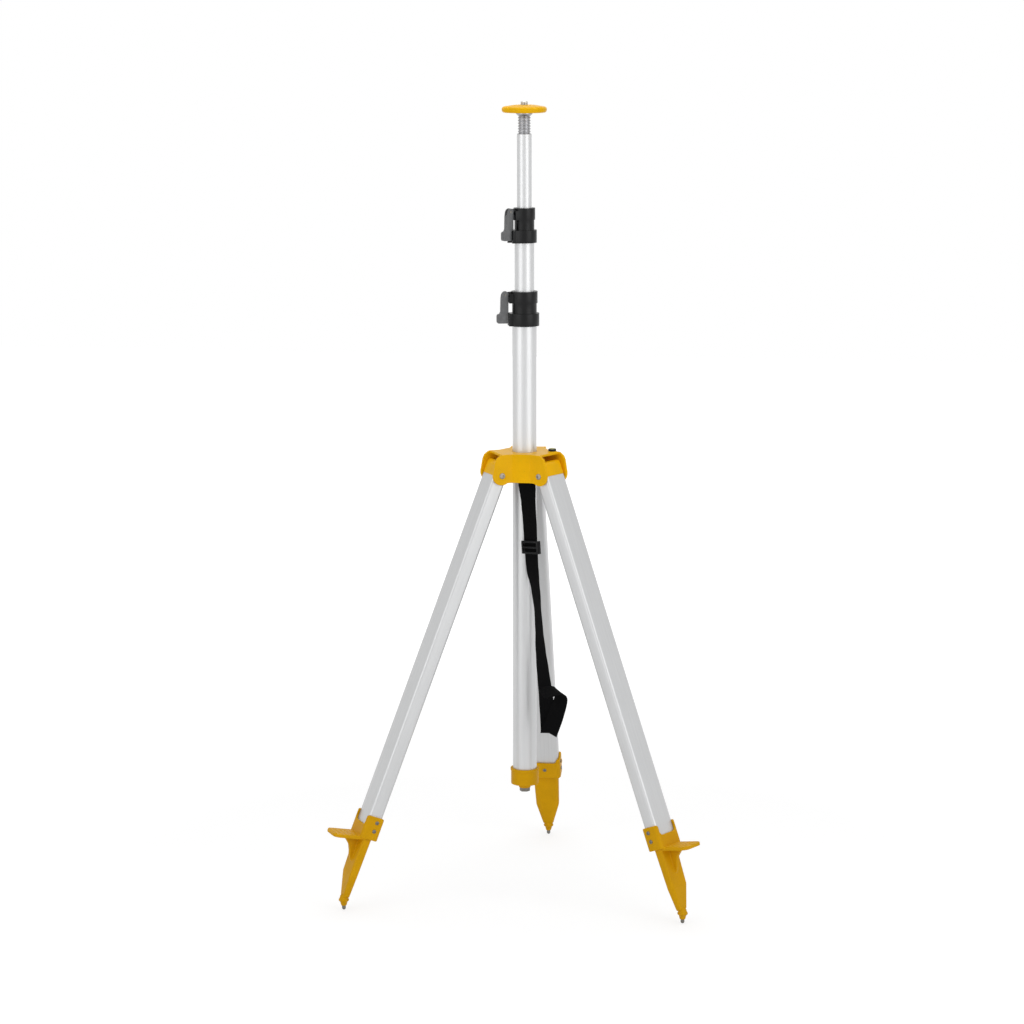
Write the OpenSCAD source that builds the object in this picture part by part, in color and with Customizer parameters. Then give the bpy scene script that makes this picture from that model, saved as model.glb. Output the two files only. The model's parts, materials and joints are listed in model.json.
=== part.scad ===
// Laser level tripod: three folding legs under a cast hub and a three-section
// telescoping mast with two lever clamps, a threaded instrument head, a circular
// level on the hub and a webbing carry strap. Millimetres. The mast axis is the
// Z axis, the ground is Z = 0 and the rear leg points along +Y.

/* [Stance] */
// Lean of each leg from the vertical when it is spread, in degrees
leg_lean = 21.8; // [16:0.1:26]
// Distance from the mast axis to a leg pivot
pivot_r = 65; // [62:1:80]
// Distance along a leg from its pivot to the centre of the spike's ball end
leg_reach = 957; // [880:1:1100]

/* [Leg tubes] */
// Radial depth of the leg tube
leg_depth = 30; // [26:1:32]
// Width of the leg tube across the hub's ears
leg_width = 60; // [50:1:66]
// Corner radius of the leg tube
leg_corner = 5.5; // [3:0.5:8]
// Wall of the leg tube
leg_wall = 1.6; // [1.2:0.1:3]
// Distance along the leg from the pivot to the top of the tube
leg_top_drop = 5; // [5:1:8]
// Distance along the leg from the tube's end to the spike's ball centre
foot_length = 162; // [150:1:190]

/* [Leg heads] */
// Height of the leg head above the pivot
head_rise = 28; // [22:1:32]
// How far the head stands proud of the tube all round
head_proud = 0.5; // [0.2:0.1:1]
// Radius of the rounded outer top corner of the head
head_round = 13; // [8:1:15]
// Length of the plug that holds the head in the tube
plug_length = 42; // [25:1:80]
// Radius of the pivot bolt's shank
pivot_bolt_r = 4; // [3:0.5:5]
// Radius of the pivot bolt's head and of its nut
pivot_head_r = 6.2; // [5.5:0.1:8]
// Thickness of the pivot bolt's head and of its nut
pivot_head_t = 2.6; // [2:0.1:4]

/* [Hub] */
// Thickness of the hub's ears and webs
ear_t = 5.5; // [4:0.5:8]
// Gap between a leg head and an ear, on each side
ear_gap = 0.8; // [0.4:0.1:2]
// Radius of the ear's rounded end round the pivot
ear_r = 20; // [16:1:22]
// Height of the hub's top face above the pivots
hub_rise = 43.5; // [40:0.5:55]
// Depth of the webs' lower edge below the pivots
web_drop = 16; // [12:1:20]
// Distance from the mast axis to the outer face of a web
web_out = 53; // [51:0.5:60]
// Thickness of the hub's top plate
hub_plate_t = 5; // [4:0.5:8]
// Reach of the top plate over each leg, from the mast axis
hub_plate_r = 64; // [60:1:70]
// Wall of the hub's sleeve round the mast
sleeve_wall = 7.5; // [5:0.5:9]
// Radius of the three set screws that hold the mast in the sleeve
set_screw_r = 3; // [2:0.5:4]

/* [Mast] */
// Outer diameter of the base tube
base_d = 50; // [48:1:54]
// Outer diameter of the middle tube
middle_d = 40; // [38:1:42]
// Outer diameter of the top tube
top_d = 30; // [28:1:32]
// Wall of the mast tubes
mast_wall = 1.6; // [1.2:0.1:2.5]
// Depth of the base tube's lower end below the leg pivots
base_drop = 664; // [500:1:700]
// Length of the base tube
base_length = 992; // [900:1:1100]
// Height of the middle tube's lower end above the base tube's
middle_rise = 120; // [120:1:400]
// Height of the top tube's lower end above the middle tube's
top_rise = 241; // [200:1:500]
// Length of the middle tube that shows between the two clamps
middle_shows = 100; // [96:1:200]
// Length of the top tube that shows above the upper clamp
top_shows = 150; // [60:1:300]
// Radial clearance between a tube and what it slides in
slide_gap = 0.3; // [0.3:0.05:0.6]
// Radial clearance between a tube and what is fixed to it
seat_gap = 0.1; // [0.05:0.05:0.2]
// Height of the guide at the lower end of each sliding tube
guide_h = 30; // [20:1:60]

/* [Lever clamps] */
// Height of a clamp's collar
clamp_h = 71; // [68:1:80]
// Height of the lower ring, which grips the wider tube
grip_ring_h = 26; // [22:1:28]
// Wall of the lower ring
grip_ring_wall = 5.6; // [4:0.1:7]
// Height of the upper ring, which guides the narrower tube
guide_ring_h = 24; // [22:1:26]
// Wall of the upper ring
guide_ring_wall = 6.9; // [5:0.1:7]
// Depth of the wider tube inside the collar
clamp_seat = 23; // [18:1:24]
// Distance from the wider tube's surface to the lever's pin
lever_pin_out = 15; // [14:0.5:18]
// Height of the lever's pin above the collar's foot
lever_pin_h = 64; // [62:0.5:66]
// Radius of the lever's pin
lever_pin_r = 2; // [1.5:0.25:2.5]
// Radius of the lever's head round its pin
lever_head_r = 7; // [6:0.25:7]
// Width of the lever
lever_w = 12; // [11:0.5:14]
// Depth of the lever's arm
lever_arm_t = 16.3; // [13:0.1:18]
// Depth of the lever's finger pad
lever_pad_t = 22; // [18:1:26]
// Direction of the lower clamp's lever round the mast, in degrees from +X
lower_lever_turn = 195; // [180:1:235]
// Direction of the upper clamp's lever round the mast, in degrees from +X
upper_lever_turn = 218; // [180:1:235]

/* [Instrument head] */
// Diameter of the head plate
plate_d = 92; // [80:1:120]
// Thickness of the head plate at its rim
plate_t = 12; // [10:1:16]
// Rise of the head plate's top above its rim
plate_crown = 3.5; // [2:0.5:5]
// Length of the ribbed stem between the top tube and its flange
stem_rise = 36; // [24:1:60]
// Radius of the stem's core
stem_r = 11.4; // [10:0.1:12]
// Number of ribs round the stem
stem_ribs = 6; // [3:1:8]
// Radius of the flange under the head plate
stem_flange_r = 17; // [14:1:20]
// Height of the flange under the head plate
stem_flange_h = 7.5; // [5:0.5:10]
// Radius of the mounting stud, a 5/8 inch thread's crest
stud_r = 7.94; // [6:0.01:9]
// Length of the stud above the head plate
stud_rise = 7; // [5:0.5:16]

/* [Mast cap] */
// Wall of the cap round the base tube's lower end
cap_wall = 4; // [3:0.5:6]
// Height of the cap
cap_h = 34; // [26:1:45]
// Thickness of the cap's floor
cap_floor = 4; // [3:0.5:6]
// Radius of the cap's lip
cap_lip = 1.2; // [0.6:0.1:2]
// Width across flats of the cap's bolt
cap_bolt_af = 19; // [16:1:22]

/* [Feet] */
// Clearance between the leg tube and the foot's socket
foot_gap = 0.15; // [0.1:0.05:0.3]
// Wall of the foot's socket
foot_wall = 4.6; // [3.5:0.1:6]
// Height of the foot's side pads above the tube's end
pad_rise = 43; // [38:1:60]
// Height of the socket's inner wall above the tube's end
inner_rise = 33; // [24:1:35]
// Height of the socket's outer wall above the tube's end
outer_rise = 21; // [10:1:30]
// Thickness of the socket's floor
foot_floor = 6; // [4:1:12]
// Width of the foot's blade
blade_w = 53; // [40:1:56]
// Depth of the foot's blade
blade_t = 17; // [14:1:20]
// Distance of the blade's inner face from the tube's axis, towards the mast
blade_back = 9; // [7:0.5:11]
// Offset of the spike's axis from the tube's axis, towards the mast
spike_in = 14; // [8:1:14]
// Radius of the spike's ball end
spike_r = 4; // [3:0.5:5]
// Length of the foot step beyond the tube
step_reach = 60; // [40:1:80]
// Thickness of the foot step
step_t = 7; // [5:0.5:9]
// Width of the foot step
step_w = 58; // [44:1:64]
// Angle by which the step rises outward when the leg is spread
step_slope = 11; // [0:1:18]
// Number of ribs on the foot step
step_ribs = 5; // [3:1:7]
// Radius of the foot screws' heads
foot_screw_r = 4; // [3:0.5:5]

/* [Circular level] */
// Radius of the level's cup
level_r = 8.2; // [6:0.2:10]
// Height of the level's cup
level_h = 5; // [4:0.5:8]
// Wall of the level's cup
level_wall = 1.5; // [1:0.1:2]
// Height of the level's clear dome above its cup
level_dome = 2; // [1:0.5:3]

/* [Carry strap] */
// Width of the webbing
strap_w = 36; // [30:1:38]
// Thickness of the webbing
strap_t = 1.6; // [1.2:0.1:2.2]
// Width of the ladder-lock buckle
buckle_w = 45; // [42:1:50]
// Height of the ladder-lock buckle
buckle_h = 27; // [22:1:32]

/* [Hidden] */
$fn = 64;

yellow = "#edb50a";
foot_yellow = "#cc9410";
silver = "#d4d6d8";
steel = "#9a9c9e";
black = "#26282a";
grey = "#5c6064";
webbing = "#101112";

left_turn = 210;
right_turn = 330;
rear_turn = 90;
leg_turns = [left_turn, right_turn, rear_turn];

// The ball ends of the spikes stand on the ground.
pivot_h = leg_reach * cos(leg_lean) + spike_in * sin(leg_lean) + spike_r;

// Mast heights
base_r = base_d / 2;
middle_r = middle_d / 2;
top_r = top_d / 2;
base_bottom = pivot_h - base_drop;
base_top = base_bottom + base_length;
middle_bottom = base_bottom + middle_rise;
top_bottom = middle_bottom + top_rise;
lower_clamp_z = base_top - clamp_seat;
upper_clamp_z = lower_clamp_z + clamp_h + middle_shows;
middle_top = upper_clamp_z + clamp_seat;
top_top = upper_clamp_z + clamp_h + top_shows;
stem_top = top_top + stem_rise;
plate_bottom = stem_top + stem_flange_h;
plate_top = plate_bottom + plate_t + plate_crown;

// Hub
hub_top = pivot_h + hub_rise;
sleeve_r = base_r + seat_gap + sleeve_wall;
head_half_w = leg_width / 2 + head_proud;
ear_in = head_half_w + ear_gap;
ear_out = ear_in + ear_t;
pin_run = 0.06;
// Distance along a leg's direction to the outer and the inner crease of its ears and the webs
crease_out = (web_out - ear_out * sin(60)) / cos(60);
crease_in = (web_out - ear_t - ear_in * sin(60)) / cos(60);
ear_end = pivot_r + ear_r + 2;
// The ears' outer edge above the pivot: how far inside the rounded end, and at what share of the hub's height
ear_cheek = [5, 0.64];
ear_brow = [9, 0.84];
plate_edge_out = 4;
plate_edge_drop = 1.4;
sleeve_drop = 14;
rib_t = 5;
rib_low = 9;
set_screw_h = 30;
ear_boss = 0.8;
boss_rim = 2.2;
pivot_nut_bite = 1.2;
leg_stop_w = 24;
leg_stop_low = 7;
leg_stop_high = 18;

// Mast cap
cap_lip_h = 5;
cap_boss_h = 9;
cap_boss_rim = 3;
cap_bolt_r = 6;
cap_bolt_head_h = 8;
cap_plug_h = 24;
guide_flange_h = 4;
guide_wall = 4;

// Lever clamps, measured from a collar's foot
shoe_low = clamp_h - guide_ring_h + 2;
shoe_h = 9;
shoe_w = 14;
waist_proud = 0.4;
knuckle_w = 5;
knuckle_gap = 0.4;
knuckle_inset = 1.5;
hinge_block_w = 25;
hinge_block_out = lever_pin_out - lever_head_r - 0.6;
hinge_block_top = lever_pin_h + 2;
lug_w = 9;
lug_gap = 0.7;
lug_bevel = 4;
lug_reach = base_r + grip_ring_wall + 2.9;
lever_face = 8.7;
pad_step = 1.9;
pad_rise_low = 5;
pad_round = 4;
collar_screw_h = 11.5;
collar_screw_turns = [200, 250];
collar_screw_r = 1.6;
collar_screw_head_r = 3.2;
collar_screw_head_t = 1.8;

// Instrument head
stem_plug = 40;
stem_shoulder = 1.6;
stem_rib_depth = 1.6;
stem_rib_marks = [0.3, 0.45, 0.75, 0.9];
stem_flare = 1.5;
stem_flange_under = 3;
stem_flange_edge = 4.5;
plate_round = 3;
plate_crown_flat = 12;
stem_pin_r = 2;
stud_depth = 30;
stud_chamfer = 1;
stud_shank_r = stud_r - 0.44;
stud_relief_h = 1;

// Legs and feet, measured along the leg from the pivot
tube_end = leg_reach - foot_length;
leg_rivet_drop = 24;
leg_rivet_r = 2.4;
leg_rivet_head_r = 4;
leg_rivet_head_t = 1.8;
plug_wall = 4;
socket_corner = leg_corner + 3;
blade_corner = 5;
// The blade's sections from the socket's floor down: depth below the floor, shift of the inner face
// towards the mast, shift of the outer face outward, change of the width
blade_sections = [[0, 0, 2, 3], [84, 0, 0, -2], [132, 5, -8, -30]];
spike_boss_r = 8;
spike_ring_r = 11;
notch_side = 8;
notch_corner = 9;
pad_corner = 6;
step_over = 12;
step_lift = 4;
step_corner = 14;
step_rib_r = 1.4;
step_rib_margin = 6;
step_rib_start = 12;
gusset_w = 8;
// The gusset's edge from the step down to the blade: distance from the tube's axis, depth below the
// socket's floor
gusset_edge = [[46, 9], [37, 16], [26, 25], [20, 37], [17, 46], [11, 56]];
spike_shank = 16;
spike_ring_up = 17;
foot_screw_rises = [13.5, 32];
foot_screw_in = 4;
foot_screw_shank_r = 1.8;
foot_screw_head_t = 2;

// Level
level_seat_r = 54;
level_side = 24;
level_boss_h = 1.5;
level_seat_rim = 1.6;

// Strap anchor and buckle
buckle_point = 6;
anchor_x = 10;
anchor_h = 6;
anchor_w = 26;
anchor_bolt_r = 2.5;
anchor_head_r = 4.2;
anchor_head_t = 2.2;
buckle_bar = 4;
anchor_depth_left = 2.5;
strap_clear = 0.3;
strap_web_y = web_out - ear_t;
strap_plate_t = 1.5;
strap_plate_y = strap_web_y - strap_t - 2 * strap_clear;

// Carries a shape from its own place to the leg that points at this turn.
module at_leg(turn) {
    rotate([0, 0, turn]) translate([pivot_r, 0, pivot_h]) rotate([0, -leg_lean, 0]) children();
}

// A rectangle with round corners, centred
module round_rect(w, d, r) {
    square([w - 2 * r, d], center = true);
    square([w, d - 2 * r], center = true);
    for (x = [-1, 1], y = [-1, 1])
        translate([x * (w / 2 - r), y * (d / 2 - r)]) circle(r);
}

// A pan head with a cross recess, its underside at the origin
module pan_head(head_r, head_t) {
    difference() {
        rotate_extrude() polygon([
            [0, 0], [head_r, 0], [head_r, head_t * 0.45], [head_r * 0.82, head_t * 0.85],
            [head_r * 0.5, head_t], [0, head_t]
        ]);
        for (a = [0, 90])
            rotate([0, 0, a]) translate([-head_r * 0.5, -head_r * 0.11, head_t * 0.55])
                cube([head_r, head_r * 0.22, head_t]);
    }
}

// A pan-head screw whose shank points along -Z
module pan_screw(head_r, head_t, shank_r, shank_l) {
    pan_head(head_r, head_t);
    translate([0, 0, -shank_l]) cylinder(r = shank_r, h = shank_l);
}

// Hub

// Side outline of a leg's two ears, as distance from the mast axis and height above the pivot.
// It is open towards the mast, above the hub and below the webs, which have edges of their own.
module ear_outline() {
    low = asin((web_drop + 0.3) / ear_r) - 180;
    steps = 14;
    polygon([
        [0, -3 * ear_r], [pivot_r + ear_r * cos(low), -3 * ear_r],
        for (i = [0 : steps])
            let (a = low + i * (6 - low) / steps) [pivot_r + ear_r * cos(a), ear_r * sin(a)],
        [pivot_r + ear_r - ear_cheek[0], hub_rise * ear_cheek[1]],
        [pivot_r + ear_r - ear_brow[0], hub_rise * ear_brow[1]],
        [hub_plate_r + plate_edge_out, hub_rise - plate_edge_drop], [hub_plate_r, hub_rise + 0.5],
        [hub_plate_r, hub_rise + 5], [0, hub_rise + 5]
    ]);
}

// What is cut away round a leg's two ears
module ear_trim() {
    w = 2 * ear_out + 4;
    translate([0, w / 2, 0]) rotate([90, 0, 0]) linear_extrude(w) difference() {
        translate([crease_in - 2, -2 * ear_r]) square([pivot_r + ear_r, 2 * ear_r + hub_rise + 2]);
        ear_outline();
    }
}

// A point in plan at a distance r along a leg's direction and t to its side
function plan_corner(turn, r, t) = [
    r * cos(turn) - t * sin(turn),
    r * sin(turn) + t * cos(turn)
];

// The wall between two neighbouring legs in plan: an ear of each and the web that joins them
function fork_wall(turn) = [
    for (c = [
        [turn, ear_end, ear_out], [turn, crease_out, ear_out],
        [turn + 120, crease_out, -ear_out], [turn + 120, ear_end, -ear_out],
        [turn + 120, ear_end, -ear_in], [turn + 120, crease_in, -ear_in],
        [turn, crease_in, ear_in], [turn, ear_end, ear_in]
    ]) plan_corner(c[0], c[1], c[2])
];

// The ears and webs. The ears are cut to their outline, and between them a prism cuts the webs' lower edge.
module hub_walls() {
    lobe_start = pivot_r - sqrt(ear_r * ear_r - web_drop * web_drop) + 1;
    difference() {
        translate([0, 0, -ear_r - 2]) linear_extrude(hub_rise + ear_r + 2)
            for (turn = leg_turns) polygon(fork_wall(turn));
        for (turn = leg_turns) rotate([0, 0, turn]) ear_trim();
        translate([0, 0, -2 * ear_r]) linear_extrude(2 * ear_r - web_drop)
            rotate([0, 0, left_turn + 60]) circle(2 * lobe_start, $fn = 3);
    }
}

// The top plate, whose edge lies in the middle of the walls
module hub_top_plate() {
    side = ear_in + ear_t / 2;
    crease = (web_out - ear_t / 2 - side * sin(60)) / cos(60);
    translate([0, 0, hub_rise - hub_plate_t]) linear_extrude(hub_plate_t) polygon([
        for (turn = [left_turn, right_turn, rear_turn + 360])
            for (c = [[crease, -side], [hub_plate_r, -side], [hub_plate_r, side], [crease, side]])
                plan_corner(turn, c[0], c[1])
    ]);
}

// The hub's parts are drawn with the pivots at Z = 0.
module hub_casting() {
    color(yellow) translate([0, 0, pivot_h]) difference() {
        union() {
            hub_walls();
            hub_top_plate();
            translate([0, 0, -sleeve_drop]) cylinder(r = sleeve_r, h = sleeve_drop + hub_rise);
            for (turn = leg_turns) {
                for (side = [-1, 1])
                    rotate([0, 0, turn]) translate([pivot_r, side * (ear_out - 2), 0])
                        rotate([-90 * side, 0, 0]) cylinder(r = pivot_head_r + boss_rim, h = 2 + ear_boss);
                rotate([0, 0, turn + 60]) hub_rib();
                rotate([0, 0, turn]) leg_stop();
            }
            rotate([0, 0, right_turn]) translate([level_seat_r, level_side, hub_rise - 1])
                cylinder(r = level_r + level_seat_rim, h = 1 + level_boss_h);
            translate([anchor_x - anchor_w / 2, -web_out + 2, -anchor_h])
                cube([anchor_w, ear_t - 2 + strap_t + 2 * strap_clear, 2 * anchor_h]);
        }
        translate([0, 0, -sleeve_drop - 1])
            cylinder(r = base_r + seat_gap, h = sleeve_drop + hub_rise + 2);
        for (turn = leg_turns) {
            rotate([0, 0, turn]) translate([pivot_r, 0, 0]) rotate([90, 0, 0])
                cylinder(r = pivot_bolt_r + pin_run, h = 2 * (ear_out + ear_boss) + 2, center = true);
            rotate([0, 0, turn]) translate([0, 0, set_screw_h]) rotate([0, 90, 0])
                cylinder(r = set_screw_r, h = sleeve_r + 2);
        }
        for (x = [-1, 1])
            translate([anchor_x + x * anchor_w / 3, -web_out + anchor_depth_left, 0]) rotate([-90, 0, 0])
                cylinder(r = anchor_bolt_r, h = ear_t + strap_t + 1);
    }
}

// The rib between a web and the sleeve, towards +X
module hub_rib() {
    translate([base_r + seat_gap + 1, -rib_t / 2, rib_low])
        cube([web_out - ear_t - base_r, rib_t, hub_rise - rib_low - 1]);
}

// The stop on the sleeve that a leg head's inner face rests against when the leg is spread
module leg_stop() {
    face = pivot_r - (leg_depth / 2 + head_proud) / cos(leg_lean) - slide_gap;
    translate([0, leg_stop_w / 2, 0]) rotate([90, 0, 0]) linear_extrude(leg_stop_w)
        polygon([
            [sleeve_r - 2, leg_stop_low], [face - leg_stop_low * tan(leg_lean), leg_stop_low],
            [face - leg_stop_high * tan(leg_lean), leg_stop_high], [sleeve_r - 2, leg_stop_high]
        ]);
}

module hub_set_screws() {
    color(steel) for (turn = leg_turns)
        rotate([0, 0, turn]) translate([base_r + seat_gap, 0, pivot_h + set_screw_h]) rotate([0, 90, 0])
            difference() {
                cylinder(r = set_screw_r, h = sleeve_wall);
                translate([0, 0, sleeve_wall - 3]) cylinder(r = set_screw_r * 0.5, h = 4, $fn = 6);
            }
}

module pivot_bolts() {
    color(steel) for (turn = leg_turns)
        rotate([0, 0, turn]) translate([pivot_r, ear_out + ear_boss, pivot_h]) rotate([-90, 0, 0])
            pan_screw(pivot_head_r, pivot_head_t, pivot_bolt_r, 2 * (ear_out + ear_boss) + pivot_nut_bite);
}

// The nut of each pivot bolt looks like its head and takes the end of its shank.
module pivot_nuts() {
    color(steel) for (turn = leg_turns)
        rotate([0, 0, turn]) translate([pivot_r, -ear_out - ear_boss, pivot_h]) rotate([90, 0, 0])
            difference() {
                pan_head(pivot_head_r, pivot_head_t);
                translate([0, 0, -1]) cylinder(r = pivot_bolt_r, h = 1 + pivot_nut_bite);
            }
}

// Circular level

module level_cup() {
    color(black) rotate([0, 0, right_turn]) translate([level_seat_r, level_side, hub_top + level_boss_h])
        difference() {
            cylinder(r = level_r, h = level_h);
            translate([0, 0, level_wall]) cylinder(r = level_r - level_wall, h = level_h);
        }
}

module level_vial() {
    vial_r = level_r - level_wall - 0.05;
    dome_r = (vial_r * vial_r + level_dome * level_dome) / (2 * level_dome);
    color("#8a9a3c") rotate([0, 0, right_turn])
        translate([level_seat_r, level_side, hub_top + level_boss_h + level_wall]) {
            cylinder(r = vial_r, h = level_h - level_wall);
            translate([0, 0, level_h - level_wall]) intersection() {
                translate([0, 0, level_dome - dome_r]) sphere(dome_r);
                cylinder(r = vial_r, h = level_dome + 1);
            }
        }
}

// Mast

module mast_tube(r, bottom, length) {
    color(silver) translate([0, 0, bottom]) difference() {
        cylinder(r = r, h = length);
        translate([0, 0, -1]) cylinder(r = r - mast_wall, h = length + 2);
    }
}

module base_tube() {
    mast_tube(base_r, base_bottom, base_length);
}

module middle_tube() {
    mast_tube(middle_r, middle_bottom, middle_top - middle_bottom);
}

module top_tube() {
    mast_tube(top_r, top_bottom, top_top - top_bottom);
}

// A guide fixed on the lower end of a sliding tube, which runs in the wider tube
module tube_guide(r, outer_r, bottom) {
    color(black) translate([0, 0, bottom]) difference() {
        union() {
            translate([0, 0, -guide_flange_h])
                cylinder(r = outer_r - mast_wall - slide_gap, h = guide_flange_h);
            cylinder(r = r - mast_wall - seat_gap, h = guide_h);
        }
        translate([0, 0, -guide_flange_h - 1])
            cylinder(r = r - mast_wall - guide_wall, h = guide_h + guide_flange_h + 2);
    }
}

module middle_guide() {
    tube_guide(middle_r, base_r, middle_bottom);
}

module top_guide() {
    tube_guide(top_r, middle_r, top_bottom);
}

module mast_cap() {
    outer = base_r + cap_wall;
    color(yellow) translate([0, 0, base_bottom - cap_floor]) difference() {
        union() {
            cylinder(r = outer, h = cap_h);
            translate([0, 0, cap_h - cap_lip_h]) cylinder(r = outer + cap_lip, h = cap_lip_h);
            translate([0, 0, -cap_boss_h]) cylinder(r = cap_bolt_af / 2 + cap_boss_rim, h = cap_boss_h);
        }
        translate([0, 0, cap_floor]) cylinder(r = base_r + seat_gap, h = cap_h);
        translate([0, 0, -cap_boss_h - 1])
            cylinder(r = cap_bolt_r + seat_gap, h = cap_boss_h + cap_floor + 2);
    }
}

// The plug inside the base tube's lower end, which the cap's bolt draws up
module cap_plug() {
    color(grey) translate([0, 0, base_bottom]) difference() {
        cylinder(r = base_r - mast_wall - seat_gap, h = cap_plug_h);
        translate([0, 0, -1]) cylinder(r = cap_bolt_r + pin_run, h = cap_plug_h + 2);
    }
}

module cap_bolt() {
    color(steel) translate([0, 0, base_bottom - cap_floor - cap_boss_h]) {
        translate([0, 0, -cap_bolt_head_h]) cylinder(r = cap_bolt_af / sqrt(3), h = cap_bolt_head_h, $fn = 6);
        cylinder(r = cap_bolt_r, h = cap_boss_h + cap_floor + cap_plug_h - 4);
    }
}

// Lever clamps. Each is drawn with its foot at the origin and its lever towards +X.
// wide is the radius of the tube it grips, and narrow that of the tube it guides.

module at_clamp(turn, z) {
    rotate([0, 0, turn]) translate([0, 0, z]) children();
}

module clamp_collar(wide, narrow) {
    bore_r = narrow + slide_gap;
    guide_r = bore_r + guide_ring_wall;
    pin_x = wide + lever_pin_out;
    guide_low = clamp_h - guide_ring_h;
    color(black) difference() {
        union() {
            cylinder(r = wide + grip_ring_wall, h = grip_ring_h);
            cylinder(r = wide + waist_proud, h = guide_low);
            translate([0, 0, guide_low]) cylinder(r = guide_r, h = guide_ring_h);
            for (side = [-1, 1]) collar_lug(side, wide);
            translate([narrow, -hinge_block_w / 2, guide_low])
                cube([wide + hinge_block_out - narrow, hinge_block_w, hinge_block_top - guide_low]);
            translate([0, knuckle_w / 2, 0]) rotate([90, 0, 0]) linear_extrude(knuckle_w) union() {
                polygon([
                    [bore_r + 2, shoe_low + shoe_h + 1], [pin_x - 3, lever_pin_h - 5],
                    [pin_x, lever_pin_h + 5], [bore_r + 2, clamp_h]
                ]);
                translate([pin_x, lever_pin_h]) circle(lever_head_r - knuckle_inset);
            }
        }
        translate([0, 0, -1]) cylinder(r = wide + seat_gap, h = clamp_seat + 1);
        translate([0, 0, -1]) cylinder(r = bore_r, h = clamp_h + 2);
        translate([pin_x, 0, lever_pin_h]) rotate([90, 0, 0])
            cylinder(r = lever_pin_r, h = knuckle_w + 2, center = true);
        translate([0, -shoe_w / 2 - slide_gap, shoe_low - slide_gap])
            cube([guide_r + wide, shoe_w + 2 * slide_gap, shoe_h + 2 * slide_gap]);
        for (a = collar_screw_turns)
            rotate([0, 0, a]) translate([wide - 1, 0, collar_screw_h]) rotate([0, 90, 0])
                cylinder(r = collar_screw_r, h = 20);
    }
}

// One of the two lugs of the lower ring, between which the lever's pad lies
module collar_lug(side, wide) {
    near = lever_w / 2 + lug_gap;
    far = near + lug_w;
    linear_extrude(grip_ring_h) polygon([
        [wide - 2, side * near], [lug_reach, side * near], [lug_reach, side * (far - lug_bevel)],
        [lug_reach - lug_bevel, side * far], [wide - 2, side * far]
    ]);
}

module collar_screws(wide) {
    collar_screw_l = grip_ring_wall - seat_gap - 0.05;
    color(steel) for (a = collar_screw_turns)
        rotate([0, 0, a]) translate([wide + grip_ring_wall, 0, collar_screw_h]) rotate([0, 90, 0])
            pan_screw(collar_screw_head_r, collar_screw_head_t, collar_screw_r, collar_screw_l);
}

// The pin is pressed in the collar's knuckle, and the lever turns on it.
module lever_pin(wide) {
    color(steel) translate([wide + lever_pin_out, 0, lever_pin_h]) rotate([90, 0, 0])
        cylinder(r = lever_pin_r, h = lever_w - 1, center = true);
}

// The shoe that the lever's cam presses on the narrower tube
module brake_shoe(wide, narrow) {
    color(grey) difference() {
        translate([0, -shoe_w / 2, shoe_low]) cube([wide + lever_face - slide_gap, shoe_w, shoe_h]);
        translate([0, 0, shoe_low - 1]) cylinder(r = narrow + slide_gap, h = shoe_h + 2);
    }
}

// Side outline of a lever, with its pin at the origin
module lever_outline() {
    face = lever_face - lever_pin_out;
    back = face + lever_arm_t;
    pad_top = grip_ring_h + 1 - lever_pin_h;
    pad_low = pad_rise_low - lever_pin_h;
    pad_in = face + pad_step;
    round_x = pad_in + lever_pad_t - pad_round;
    round_low = pad_low + pad_round;
    round_high = pad_top - 3 - pad_round;
    circle(lever_head_r);
    polygon([
        [face, 0], [face, pad_top], [pad_in, pad_top - 2], [pad_in, pad_low],
        for (a = [-90 : 30 : 0]) [round_x + pad_round * cos(a), round_low + pad_round * sin(a)],
        for (a = [0 : 30 : 90]) [round_x + pad_round * cos(a), round_high + pad_round * sin(a)],
        [back + 2, pad_top - 2.4], [back, pad_top + 2], [back - 0.6, -8],
        [back - 2, 0], [back - 4, 4], [back - 7, lever_head_r - 0.7], [0, lever_head_r - 0.2]
    ]);
}

module lever(wide) {
    slot = knuckle_w + 2 * knuckle_gap;
    color(grey) translate([wide + lever_pin_out, 0, lever_pin_h]) difference() {
        translate([0, lever_w / 2, 0]) rotate([90, 0, 0]) linear_extrude(lever_w) lever_outline();
        translate([-lever_head_r - 1, -slot / 2, -lever_head_r])
            cube([3 * lever_head_r, slot, 2 * lever_head_r + 1]);
        rotate([90, 0, 0]) cylinder(r = lever_pin_r + pin_run, h = lever_w + 2, center = true);
    }
}

module lower_collar() {
    at_clamp(lower_lever_turn, lower_clamp_z) clamp_collar(base_r, middle_r);
}

module lower_collar_screws() {
    at_clamp(lower_lever_turn, lower_clamp_z) collar_screws(base_r);
}

module lower_lever_pin() {
    at_clamp(lower_lever_turn, lower_clamp_z) lever_pin(base_r);
}

module lower_brake_shoe() {
    at_clamp(lower_lever_turn, lower_clamp_z) brake_shoe(base_r, middle_r);
}

module lower_lever() {
    at_clamp(lower_lever_turn, lower_clamp_z) lever(base_r);
}

module upper_collar() {
    at_clamp(upper_lever_turn, upper_clamp_z) clamp_collar(middle_r, top_r);
}

module upper_collar_screws() {
    at_clamp(upper_lever_turn, upper_clamp_z) collar_screws(middle_r);
}

module upper_lever_pin() {
    at_clamp(upper_lever_turn, upper_clamp_z) lever_pin(middle_r);
}

module upper_brake_shoe() {
    at_clamp(upper_lever_turn, upper_clamp_z) brake_shoe(middle_r, top_r);
}

module upper_lever() {
    at_clamp(upper_lever_turn, upper_clamp_z) lever(middle_r);
}

// Instrument head

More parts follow.
